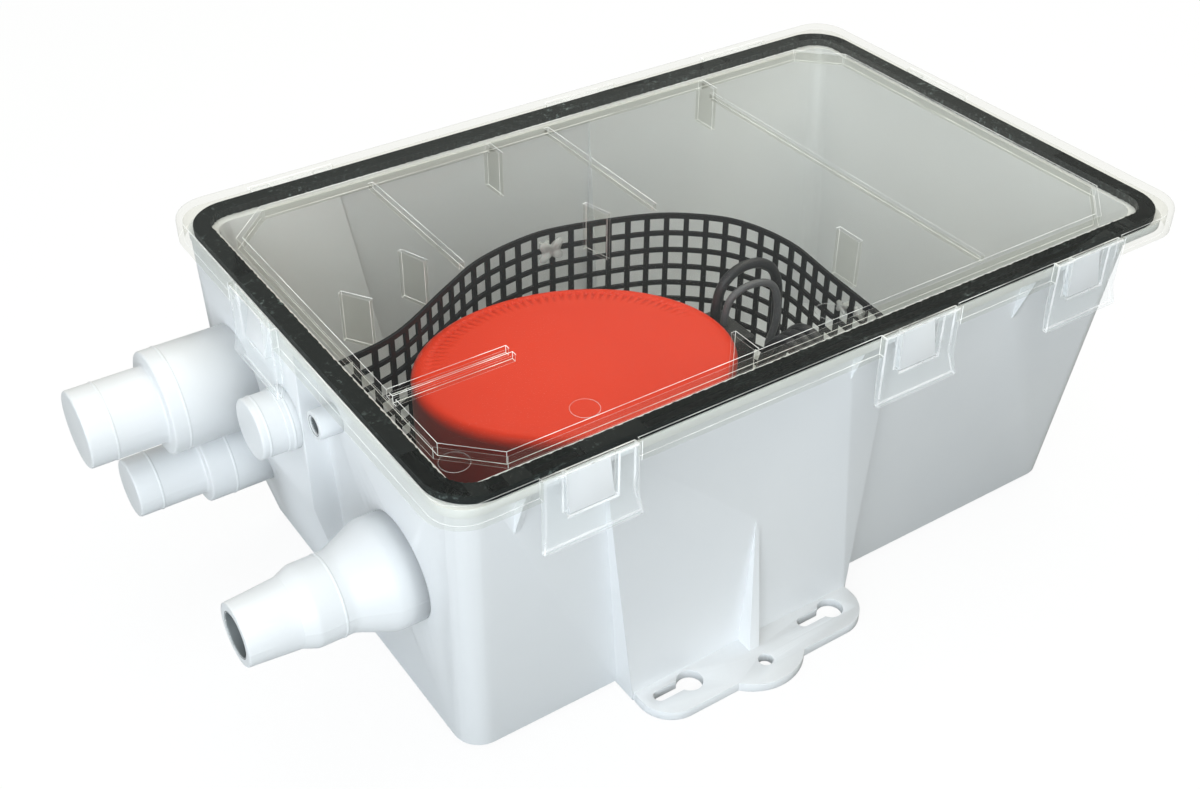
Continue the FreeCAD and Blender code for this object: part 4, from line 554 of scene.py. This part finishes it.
def barb_profile(start, root, step, tip, end, rings):
    """Outline of a closed barb from its bore's bottom round its open foot to its tip."""
    root_skin, tip_skin = root + SKIN, tip + SKIN
    bore = [(end - PORT_WALL, AXIS), (end - PORT_WALL, tip - PORT_WALL), (step, tip - PORT_WALL),
            (step - PORT_WALL, root - PORT_WALL), (start, root - PORT_WALL)]
    outer = [(start, root_skin)]
    for at in rings:
        outer += ridge(at, root_skin if at < step else tip_skin)
        if at < step and at == max(r for r in rings if r < step):
            outer += [(step + SKIN, root_skin), (step + SKIN, tip_skin)]
    outer += [(end + SKIN, tip_skin), (end + SKIN, AXIS)]
    return np.concatenate([bore, rounded_corners(outer, [0.9] * (len(outer) - 2))])


class SUMP_OT_ports(bpy.types.Operator):
    """The three closed inlet barbs, the vent nipple and the discharge port"""

    bl_idname = "sump.ports"
    bl_label = "Hose ports"

    def execute(self, context):
        for name, (y, z), steps, rings in BARBS:
            piece = turned_piece(name + "_barb", barb_profile(*steps, rings), (PAD, y, z), "-x", 192,
                                 seam=0.05)
            dress(piece, "tub", BODY, (name + "_inlet",))
        # From the wall: bell, cone, sleeve with a ring, hose barb, and back down the bore, which is
        # 0.2 mm narrower than the CAD's, so that the two never coincide.
        bell, sleeve, foot, tip = (r + SKIN for r in (18.2, 13.2, 11.0, 10.1))
        bore, end = 7.0, 53.8 + SKIN
        steps = [(-0.5, bell), (8.6, bell), (10.5, 17.6 + SKIN), (19.2, 13.9 + SKIN), (21.1, sleeve),
                 *ridge(24.0, sleeve), (32.6, sleeve), (37.1, 11.4 + SKIN), (37.5, foot), (end, tip),
                 (end, bore), (33.0, bore), (28.0, 9.5)]
        radii = [1.6, 3.0, 3.0, 1.6, 0.3, 0.3, 0.3, 0.3, 0.9, 0.9, 0.5, 0.8, 0.6, 0.1]
        self.open_port("discharge_port", steps, radii, -40.8, 60.1, around=192, seam=0.14)
        end = 7.6 + SKIN
        steps = [(-0.5, 4.8 + SKIN), (end, 4.8 + SKIN), (end, 3.0), (-1.0, 3.0 - SKIN)]
        self.open_port("vent_nipple", steps, [0.5, 0.5], -9.0, 97.0, around=64)
        return {"FINISHED"}

    def open_port(self, name, steps, radii, y, z, **turning):
        """A port with an open bore that stands on the leaning end wall."""
        wall = -(OUTSIDE_X + LEAN_X * z)
        piece = turned_piece(name, rounded_corners(steps, radii), (wall, y, z), "-x", loop=True, **turning)
        dress(piece, "tub")
        paint_bore_shade(piece, y, z)


# -------- lid, gasket and clips

EJECTOR_MARKS = ((-131.5, -77.3), (-89.7, -76.7), (-1.1, -77.0))  # (x, y) on the lid, from the photo


def gasket_band(name, low, high, width=5.8, corner=15.0, squeeze=1.3, soft=0.15):
    """The cut foam band: a rectangle with soft corners is carried round a rectangle whose corners are
    arcs. The squeezed band stands past its cut size a little, and its inner edge is ragged, a sum of
    three waves along the way round."""
    half, height = (high - low)[:2] / 2 + squeeze, high[2] - low[2]
    turn = np.linspace(0, np.pi / 2, 17)
    quarter = np.stack([np.cos(turn), np.sin(turn)], axis=1)
    signs = ((1, 1), (-1, 1), (-1, -1), (1, -1))
    normals = np.concatenate([quarter[::a * b] * (a, b) for a, b in signs])
    centres = np.concatenate([np.tile((half - corner) * sign, (len(turn), 1)) for sign in signs])
    rim = centres + normals * corner
    way = way_along(np.vstack([rim, rim[:1]]))
    even = np.linspace(0, way[-1], 900, endpoint=False)
    x, y, nx, ny = (np.interp(even, way, np.append(v, v[0])) for v in (*rim.T, *normals.T))
    size = np.hypot(nx, ny)
    ragged = 0.12 * np.sin(even * 1.9) + 0.1 * np.sin(even * 3.7 + 1) + 0.08 * np.sin(even * 0.83 + 2)
    section = np.array([(0, soft), (soft, 0), (width - soft, 0), (width, soft), (width, height - soft),
                        (width - soft, height), (soft, height), (0, height - soft)])
    inward = section[:, 0, None] + np.where(section[:, 0, None] > width / 2, ragged[None], 0.0)
    level = np.broadcast_to(low[2] + section[:, 1, None], inward.shape)
    points = np.stack([x - inward * nx / size, y - inward * ny / size, level], axis=-1)
    return looped_grid(name, points, smooth=False)


class SUMP_OT_lid(bpy.types.Operator):
    """The clear lid with its ribs and tabs, and the gasket under it"""

    bl_idname = "sump.lid"
    bl_label = "Lid and gasket"

    def execute(self, context):
        lid = merged_copy("clear_lid", "lid", settings().soft_edge)
        dress(lid, "lid", "lid_body", ("lid",))
        pale_edges(lid, "lid_edge")
        # Each ejector pin left a ring 8.6 mm wide and 0.2 mm broad just under the lid's top.
        top = cad("lid")[1][2] - 0.02
        ring = [(top - 0.1, 4.25), (top, 4.3), (top, 4.4), (top - 0.1, 4.45)]
        marks = [turned_piece("mark_%d" % i, ring, (*spot, 0.0), "+z", 48, loop=True)
                 for i, spot in enumerate(EJECTOR_MARKS)]
        dress(join("lid_ejector_marks", marks), "mark", "lid_body")
        gasket = gasket_band("gasket_band", *cad("lid_gasket"))
        dress(gasket, "gasket", "lid_body", ("lid_gasket",))
        return {"FINISHED"}


CLIP_SIZE = (31.0, 2.5, 24.8)  # width, thickness and height of a clip
CLIP_WINDOW = 16.5  # width of the window that the tub's catch fills
CLIP_BAR = 9.8  # height of the bar under the window
CLIP_CREASE = 7.2  # height below which the bar leans out and grows wider
CLIP_SIDES = {"front": "-y", "back": "+y", "port": "-x", "far": "+x"}


def clip_mesh(name, low, high, side):
    """A clip as a ring between its window and its outline. The ring's points run round both
    rectangles together; below the crease the plate leans outwards and grows wider."""
    width, thick, top = CLIP_SIZE
    half, window = width / 2, CLIP_WINDOW / 2
    inner = np.array([(-window, CLIP_BAR), (window, CLIP_BAR), (window, top), (-window, top)], float)
    outer = np.array([(-half, 0), (half, 0), (half, top), (-half, top)], float)
    # Fourteen points on each side of both rectangles, and seven rows from one to the other.
    along = np.arange(4 * 14) / 14
    corner, past = along.astype(int) % 4, (along % 1)[:, None]
    inner, outer = (line[corner] * (1 - past) + line[(corner + 1) % 4] * past for line in (inner, outer))
    share = np.linspace(0, 1, 7)[:, None, None]
    across, level = np.moveaxis(inner[None] * (1 - share) + outer[None] * share, -1, 0)
    below = np.clip((CLIP_CREASE - level) / CLIP_CREASE, 0, 1)
    across = across + np.sign(across) * below * 1.2 * (np.abs(across) / half)
    # The far end's clip leans less, so that it stays inside the CAD's box.
    lean = below * (0.6 if side == "+x" else 1.7)
    points = np.stack([np.stack([across, -(lean + depth * (1 - 0.25 * below)), level], axis=-1)
                       for depth in (0.0, thick)])
    rows, columns = across.shape
    count, last = rows * columns, (rows - 1) * columns
    front = grid_faces(rows, columns, wrap_columns=True, first=count)
    back = [face[::-1] for face in grid_faces(rows, columns, wrap_columns=True)]
    ring = np.arange(columns)
    following = (ring + 1) % columns
    inner_wall = np.stack([ring, ring + count, following + count, following], axis=-1).tolist()
    outer_wall = np.stack([ring, following, following + count, ring + count], axis=-1) + last
    # The clip is drawn for the front, then turned and set with its back on the lid's edge.
    angle = math.radians({"-y": 0.0, "+x": 90.0, "+y": 180.0, "-x": -90.0}[side])
    turn = np.array([[math.cos(angle), -math.sin(angle), 0], [math.sin(angle), math.cos(angle), 0],
                     [0, 0, 1.0]])
    middle = (low + high) / 2
    x, y = {"-y": (middle[0], high[1]), "+y": (middle[0], low[1]),
            "+x": (low[0], middle[1]), "-x": (high[0], middle[1])}[side]
    points = points.reshape(-1, 3) @ turn.T + np.array([x, y, low[2]])
    piece = outward(mesh_piece(name, points, front + back + inner_wall + outer_wall.tolist()))
    soft_edges(piece, 0.5, 50)
    return piece


class SUMP_OT_clips(bpy.types.Operator):
    """The eight clear clips that hold the lid"""

    bl_idname = "sump.clips"
    bl_label = "Lid clips"

    def execute(self, context):
        for node in sorted(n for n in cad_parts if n.startswith("clip_")):
            side = CLIP_SIDES[node.split("_")[1]]
            piece = clip_mesh(node.replace("clip_", "lid_clip_"), *cad(node), side)
            dress(piece, "clip", node + "_body", (node,))
            pale_edges(piece, "clip_edge")
        return {"FINISHED"}


# -------- filter screen

# (x, y) of the strip's bends round the pump, from the port wall to the front wall.
SCREEN_PATH = np.array([(-128.6, 1.4), (-105.7, 6.2), (-79.8, 20.5), (-62.4, 29.4), (-43.2, 33.4),
                        (-27.2, 32.6), (0.9, 24.1), (16.1, 15.0), (27.9, 1.4), (33.2, -19.4),
                        (31.1, -42.8), (28.2, -76.5)])
SCREEN_RUNS = ("screen_port_run", "screen_back_run", "screen_far_run", "screen_front_run")
SCREEN_THICK = 1.1
SCREEN_FOOT, SCREEN_TOP = 3.0, 108.5  # heights between which the strip stands
SCREEN_BAND = 1.9  # height of the plain band along its top
FINE, COARSE = 24, 6  # points per column along the whole strip, and along a row

# Pins of the screen: x, y, z, the direction (x, y) in which the head looks, and the head's size.
PINS = ((-31.8, 32.8, 101.0, 0.0, -1.0, 1.0), (30.3, -52.1, 101.0, -1.0, 0.0, 0.5),
        (29.6, -61.0, 103.8, -1.0, 0.0, 0.5))
# A pin's outline from its point to its head: distance from the screen, and share of the head's radius.
PIN_PROFILE = np.array([(-3.4, 0.3), (-3.4, 0.42), (0.6, 0.42), (0.7, 0.9), (1.0, 1.0), (1.8, 0.95),
                        (2.1, 0.5)])


def between_walls(line, z, count):
    """The part of the line that lies 0.4 mm inside the tub's leaning walls at this height, evenly
    spaced."""
    inside = (line[:, 1] > -(INSIDE_Y + LEAN_Y * z) + 0.4) & (line[:, 0] > -(INSIDE_X + LEAN_X * z) + 0.4)
    return evenly(line[inside], count)


class SUMP_OT_screen(bpy.types.Operator):
    """The black filter screen on edge round the pump, and its clear pins"""

    bl_idname = "sump.screen"
    bl_label = "Filter screen"

    def execute(self, context):
        line = smooth_line(SCREEN_PATH, settings().screen_columns * FINE + 1)
        piece = join("filter_screen_mesh", [self.level_bars(line), self.uprights(line)])
        dress(piece, "screen", BODY, SCREEN_RUNS)
        self.pins()
        return {"FINISHED"}

    def level_bars(self, line):
        """The bars along the strip: at each height the line between the walls, given its thickness to
        both sides and the height that the holes leave, which are a little taller than wide."""
        rows, columns = settings().screen_rows, settings().screen_columns
        pitch = (SCREEN_TOP - SCREEN_BAND - SCREEN_FOOT) / rows
        tall = np.full(rows + 1, pitch - 1.04 * settings().screen_hole)
        tall[-1] = SCREEN_BAND
        bottoms = SCREEN_FOOT + np.arange(rows + 1) * pitch
        level = np.stack([between_walls(line, z, columns * COARSE + 1) for z in bottoms])
        along = np.gradient(level, axis=1)
        along /= np.linalg.norm(along, axis=2, keepdims=True)
        across = np.stack([along[..., 1], -along[..., 0]], axis=-1) * SCREEN_THICK / 2
        stations = np.stack([level - across, level + across, level + across, level - across], axis=2)
        heights = np.stack([bottoms, bottoms, bottoms + tall, bottoms + tall], axis=1)
        heights = np.broadcast_to(heights[:, None, :, None], (*stations.shape[:3], 1))
        return bars("screen_rows", np.concatenate([stations, heights], axis=-1))

    def uprights(self, line):
        """The bars between the columns, a little thinner than the others. Near the walls each one
        starts where the leaning wall leaves room for it, and one with no room is left out."""
        columns = settings().screen_columns
        at = line[::FINE]
        run = np.gradient(line, axis=0)[::FINE]
        run /= np.linalg.norm(run, axis=1)[:, None]
        side = np.stack([run[:, 1], -run[:, 0]], axis=1) * SCREEN_THICK * 0.46
        run = run * (way_along(line)[-1] / columns - settings().screen_hole) / 2
        corners = np.stack([at - run - side, at + run - side, at + run + side, at - run + side], axis=1)
        room = np.maximum((-at[:, 1] - INSIDE_Y + 1.2) / LEAN_Y, (-at[:, 0] - INSIDE_X + 1.2) / LEAN_X)
        foot = np.clip(room, SCREEN_FOOT, SCREEN_TOP - 1.0)
        ends = np.stack([foot, np.full(len(at), SCREEN_TOP - 0.4)], axis=1)
        posts = np.concatenate([np.broadcast_to(corners[:, None], (len(at), 2, 4, 2)),
                                np.broadcast_to(ends[:, :, None, None], (len(at), 2, 4, 1))], axis=-1)
        return bars("screen_posts", posts[foot < SCREEN_TOP - 3.0])

    def pins(self):
        """Pins with a head of four petals: the head's radius swings four times round, and the petals
        lean towards the level, as on a pressed plastic rivet."""
        angle = np.linspace(0, 2 * np.pi, 60, endpoint=False)
        star = (3.0 + 2.6 * np.sin(2 * angle) ** 2) * (1.0 + 0.25 * np.cos(2 * angle))
        made = []
        for i, (x, y, z, nx, ny, scale) in enumerate(PINS):
            inward, side, up = np.array([(nx, ny, 0.0), (-ny, nx, 0.0), (0, 0, 1.0)])
            ring = star[:, None] * (np.cos(angle)[:, None] * side + np.sin(angle)[:, None] * up)
            points = (np.array((x, y, z)) + PIN_PROFILE[:, 0, None, None] * inward
                      + scale * PIN_PROFILE[:, 1, None, None] * ring[None])
            made.append(closed_grid("pin_%d" % i, points))
        dress(join("screen_star_pins", made), "pin", BODY, ("screen_pins",))


# -------- pump

PUMP = (-58.3, -24.4)  # (x, y) of the pump's middle
TURN = math.radians(-18.0)  # how far its long side is turned from the tub's
CAP_LONG, CAP_SHORT = 51.0, 40.0  # half sides of its oval
CAP_SHAPE = 1.275  # how much faster the long half side shrinks than the short


def oval_rings(levels, around, dip):
    """Rings of the pump's oval: x = a cos t, y = b sin t, with both half sides smaller in step with
    the level's inset, turned about the upright axis. dip lowers the rings per level and angle."""
    levels = np.asarray(levels, float)
    t = np.linspace(0, 2 * np.pi, around, endpoint=False)
    inset = levels[:, 0][:, None]
    u = np.maximum(CAP_LONG - inset * CAP_SHAPE, 0.01) * np.cos(t)
    v = np.maximum(CAP_SHORT - inset, 0.01) * np.sin(t)
    c, s = math.cos(TURN), math.sin(TURN)
    z = levels[:, 1][:, None] - dip(t, levels)
    return np.stack([PUMP[0] + u * c - v * s, PUMP[1] + u * s + v * c, z], axis=-1)


class SUMP_OT_pump(bpy.types.Operator):
    """The pump: its orange cap with grip teeth, and the black parts under and beside it"""

    bl_idname = "sump.pump"
    bl_label = "Pump housing"

    def execute(self, context):
        teeth = settings().cap_teeth
        # (inset, height) up the side, round the moulded edge and over the slightly domed top.
        arc = np.linspace(0, np.pi / 2, 9)
        side = [(2.3, 31.05), (0.4, 31.05), (-0.2, 31.6), (-1.2, 60.0), (-1.5, 84.0)]
        edge = np.stack([1.7 - 3.2 * np.cos(arc), 95.4 + 3.2 * np.sin(arc)], axis=1)
        top = [(2.2, 98.63), (2.5, 98.64), (4.0, 98.7), (4.3, 98.71), (8.0, 98.8), (14.0, 98.9),
               (22.0, 99.0), (39.9, 99.0)]

        def grip(t, levels):
            """Grip notches along the back of the top, evenly spaced: how far each point is lowered."""
            near_edge = (levels[:, 0] > 2.3) & (levels[:, 0] < 4.1) & (levels[:, 1] > 98.6)
            back = np.clip(np.sin(t - 0.15) * 2.2 - 0.4, 0, 1)
            cut = np.clip(np.sin(t * teeth) * 3.0 - 0.8, 0, 1)
            return 0.7 * near_edge[:, None] * (cut * back)[None]

        rings = oval_rings(np.concatenate([side, edge, top]), teeth * 8, grip)
        dress(closed_grid("pump_cap_shell", rings), "cap", BODY, ("pump_cap",))
        gland = merged_copy("cable_gland_block", "cable_gland", 0.6)
        dress(gland, "base", BODY, ("cable_gland",))
        for node in ("strainer_base", "volute_housing"):
            repaint(node, "base")
        return {"FINISHED"}


# The leads' routes from the gland to the coil, as in the CAD's source.
LEAD_ROUTE = ((-1.0, -23.0, 92.0), (-1.0, -23.0, 102.03), (6.27, -23.6, 109.3), (16.67, -24.4, 109.3),
              (23.93, -25.0, 102.03), (23.93, -26.0, 86.0), (20.5, -29.6, 77.0))
SECOND_ROUTE = ((-1.0, -28.0, 92.0), (-1.0, -28.0, 99.37), (4.33, -28.6, 104.7), (14.73, -29.4, 104.7),
                (20.07, -30.0, 99.37), (20.07, -31.0, 86.0), (16.5, -29.8, 77.0))
SPARE = 8.5  # how much higher than the CAD's stand-in the coil rises
GAP = 0.4  # play between the coil and the stand-in's sides
LEAD_TURNS, SECOND_TURNS = 3.325, 1.325


def coil_turns(first_x, last_x, turns, low, high):
    """Turns of spare lead: a tall round-ended loop that starts downwards, y and z following an ellipse
    pressed outwards, x stepping across, each turn a little larger or smaller than the last. low and
    high are the corners (y, z) of the loop."""
    t = 0.15 * np.pi - np.linspace(0.0, turns * 2 * np.pi, int(turns * 12), endpoint=False)
    size = 1.0 - 0.05 * (1 + np.sin(t * 0.37 + 1.0)) / 2
    middle, reach = (low + high) / 2, (high - low) / 2
    y = middle[0] + size * reach[0] * np.sign(np.cos(t)) * np.abs(np.cos(t)) ** 0.85
    z = middle[1] + size * reach[1] * np.sign(np.sin(t)) * np.abs(np.sin(t)) ** 0.8
    return np.stack([first_x + (last_x - first_x) * np.linspace(0, 1, len(t)), y, z], axis=1)


class SUMP_OT_leads(bpy.types.Operator):
    """The pump's two leads: out of the gland, over an arch and down into the coil of spare lead"""

    bl_idname = "sump.leads"
    bl_label = "Leads"

    def execute(self, context):
        low, high = cad("lead_coil")
        high[2] += SPARE
        wide, thin = settings().lead_diameter / 2, settings().second_lead_diameter / 2
        edge = wide + GAP
        coil = coil_turns(high[0] - edge, low[0] + edge, LEAD_TURNS, low[1:] + edge, high[1:] - edge)
        self.cord("pump_lead", LEAD_ROUTE, coil, wide, "lead", "black_rubber", ("lead", "lead_coil"))
        # The second lead's turn lies inside the first lead's.
        edge += 2 * wide + thin
        coil = coil_turns(15.5, 11.5, SECOND_TURNS, low[1:] + edge, high[1:] - edge)
        self.cord("switch_lead", SECOND_ROUTE, coil, thin, "second_lead", "grey_rubber", ("second_lead",))
        return {"FINISHED"}

    def cord(self, name, start, coil, radius, material, slot_name, nodes):
        """One lead: a curved line through its route and its coil turns, with a round section."""
        route = np.concatenate([np.array(start), coil])
        curve = bpy.data.curves.new(name, "CURVE")
        curve.dimensions = "3D"
        spline = curve.splines.new("NURBS")
        spline.points.add(len(route) - 1)
        weighted = np.concatenate([route * MM, np.ones((len(route), 1))], axis=1)
        spline.points.foreach_set("co", weighted.ravel())
        spline.order_u = 3
        spline.use_endpoint_u = True
        spline.resolution_u = 6
        curve.bevel_depth = radius * MM
        curve.bevel_resolution = 4
        curve.use_fill_caps = True
        lead = placed(name, curve)
        dress(lead, material, BODY, nodes)

    def length_of(self, route):
        """Length of the smooth line: on each inner point a parabola from mid to mid."""
        middle = (route[:-1] + route[1:]) / 2
        t = np.linspace(0, 1, 9)[:, None, None]
        bows = (1 - t) ** 2 * middle[:-1] + 2 * t * (1 - t) * route[1:-1] + t ** 2 * middle[1:]
        inner = np.linalg.norm(np.diff(bows, axis=0), axis=2).sum()
        return float(inner + np.linalg.norm(route[0] - middle[0]) + np.linalg.norm(route[-1] - middle[-1]))


INNER_FINISHES = {
    "zinc": ("motor_can", "motor_end_plate"),
    "steel": ("motor_shaft", "float_pin", "flap_pin"),
    "bronze": ("lower_bush", "upper_bush"),
    "copper": ("commutator",),
    "iron": ("armature",),
    "ferrite": ("magnets",),
    "carbon": ("brushes",),
    "impeller": ("impeller",),
    "float": ("float",),
    "base": ("float_switch", "outlet_elbow", "check_valve_seat"),
    "o_ring": ("housing_o_ring", "elbow_o_ring", "valve_o_ring", "shaft_seal", "check_flap"),
}


class SUMP_OT_inside(bpy.types.Operator):
    """The parts inside the pump and the outlet: motor, impeller, float, riser and check valve"""

    bl_idname = "sump.inside"
    bl_label = "Inner parts"

    def execute(self, context):
        for material, nodes in INNER_FINISHES.items():
            for node in nodes:
                repaint(node, material)
        return {"FINISHED"}


# -------- floor, light and camera

# Area lamps that look at the sump: name, place and side in metres, watts and colour.
LAMPS = (("key", (-0.6, -0.65, 0.3), 0.9, 6.8, "#F1F9FF"),
         ("top", (0.25, 0.1, 1.0), 1.3, 9.0, "#FFFDF6"),
         ("port side", (-0.95, -0.5, 0.35), 0.9, 1.9, "#F6FBFF"))
AIM = (0, 0, 0.06)
FLOOR_REACH, FLOOR_LEVEL = 3000.0, -0.05

# The photograph's camera, solved from points of the tub's rim, ports and foot.
CAMERA_AT = (-277.14, -357.14, 379.04)
CAMERA_RIGHT, CAMERA_UP = (0.82776, -0.56103, 0.00777), (0.3288, 0.4967, 0.8034)
SENSOR, LENS = 36.0, 45.87


def seen_plainly(tree):
    """1 on rays that come from the camera or through clear plastic, else 0."""
    path = add(tree, "ShaderNodeLightPath")
    return add(tree, "ShaderNodeMath", {"operation": "MAXIMUM"},
               {0: (path, "Is Camera Ray"), 1: (path, "Is Transmission Ray")}), 0


class SUMP_OT_stage(bpy.types.Operator):
    """A plain white floor, soft studio light and the camera of the photograph"""

    bl_idname = "sump.stage"
    bl_label = "Stage"

    def execute(self, context):
        context.scene.view_settings.view_transform = "Standard"
        self.floor()
        self.world(context.scene)
        self.lamps()
        self.camera(context.scene)
        return {"FINISHED"}

    def floor(self):
        """A floor that is grey to the light and nearly white where it is seen."""
        signs = np.array([(-1, -1), (1, -1), (1, 1), (-1, 1)])
        across = np.column_stack([signs * FLOOR_REACH, np.full(4, FLOOR_LEVEL)])
        floor = mesh_piece("floor", across, [[0, 1, 2, 3]])
        material, tree, _ = blank("Floor white")
        matt = add(tree, "ShaderNodeBsdfDiffuse", {"Color": rgba("#A6A8A8")})
        bright = add(tree, "ShaderNodeEmission", {"Color": (1, 1, 1, 1), "Strength": 1.2})
        share = product(tree, seen_plainly(tree), 0.75)
        mixed = add(tree, "ShaderNodeMixShader", {}, {0: share, 1: (matt, 0), 2: (bright, 0)})
        floor.data.materials.append(finished(material, tree, mixed))

    def world(self, scene):
        """A studio that is cool on the left and warm and darker on the right, and white where seen."""
        world = scene.world or bpy.data.worlds.new("Studio")
        scene.world = world
        world.use_nodes = True
        tree = world.node_tree
        tree.nodes.clear()
        split = add(tree, "ShaderNodeSeparateXYZ", {}, {0: (add(tree, "ShaderNodeTexCoord"), "Generated")})
        rightwards = spread(tree, (split, "X"), 0.0, 1.0, -1.0, 1.0)
        shade = blend(tree, rightwards, (0.62, 0.65, 0.67), (0.27, 0.25, 0.2))
        soft = add(tree, "ShaderNodeBackground", {"Strength": 1.0}, {"Color": shade})
        plain = add(tree, "ShaderNodeBackground", {"Color": (1, 1, 1, 1), "Strength": 1.0})
        mixed = add(tree, "ShaderNodeMixShader", {}, {0: seen_plainly(tree), 1: (soft, 0), 2: (plain, 0)})
        add(tree, "ShaderNodeOutputWorld", links={"Surface": (mixed, 0)})

    def lamps(self):
        """Large soft lamps."""
        for name, at, size, power, tone in LAMPS:
            light = bpy.data.lights.new(name, "AREA")
            light.size = size
            light.energy = power
            light.color = linear(tone)
            lamp = placed(name, light)
            lamp.location = at
            lamp.rotation_euler = (Vector(AIM) - Vector(at)).to_track_quat("-Z", "Y").to_euler()

    def camera(self, scene):
        """The photograph's camera from its place and the directions of its right and upper side."""
        data = bpy.data.cameras.new("camera")
        data.sensor_width = SENSOR
        data.lens = LENS
        data.clip_start = 0.01
        data.clip_end = 100.0
        right, up = Vector(CAMERA_RIGHT), Vector(CAMERA_UP)
        turn = Matrix((right, up, right.cross(up))).transposed().to_4x4()
        camera = placed("camera", data)
        camera.matrix_world = Matrix.Translation(Vector(CAMERA_AT) * MM) @ turn
        scene.camera = camera


class SUMP_PT_panel(bpy.types.Panel):
    """Lists the sump's pieces and their settings"""

    bl_label = "Sump"
    bl_idname = "SUMP_PT_panel"
    bl_space_type = "VIEW_3D"
    bl_region_type = "UI"
    bl_category = "Sump"

    def draw(self, context):
        for operator in OPERATORS:
            self.layout.operator(operator.bl_idname)
        for group in (context.scene.sump_sizes, context.scene.sump_colours):
            for name in group.__annotations__:
                self.layout.prop(group, name)


OPERATORS = (SUMP_OT_stage, SUMP_OT_tub, SUMP_OT_ports, SUMP_OT_lid, SUMP_OT_clips, SUMP_OT_screen,
             SUMP_OT_pump, SUMP_OT_leads, SUMP_OT_inside)
CLASSES = (SumpSizes, SumpColours, *OPERATORS, SUMP_PT_panel)


def register():
    for item in CLASSES:
        bpy.utils.register_class(item)
    bpy.types.Scene.sump_sizes = bpy.props.PointerProperty(type=SumpSizes)
    bpy.types.Scene.sump_colours = bpy.props.PointerProperty(type=SumpColours)


def unregister():
    del bpy.types.Scene.sump_sizes
    del bpy.types.Scene.sump_colours
    for item in reversed(CLASSES):
        bpy.utils.unregister_class(item)


def main():
    register()
    for operator in OPERATORS:
        group, name = operator.bl_idname.split(".")
        getattr(getattr(bpy.ops, group), name)()


if __name__ == "__main__":
    main()
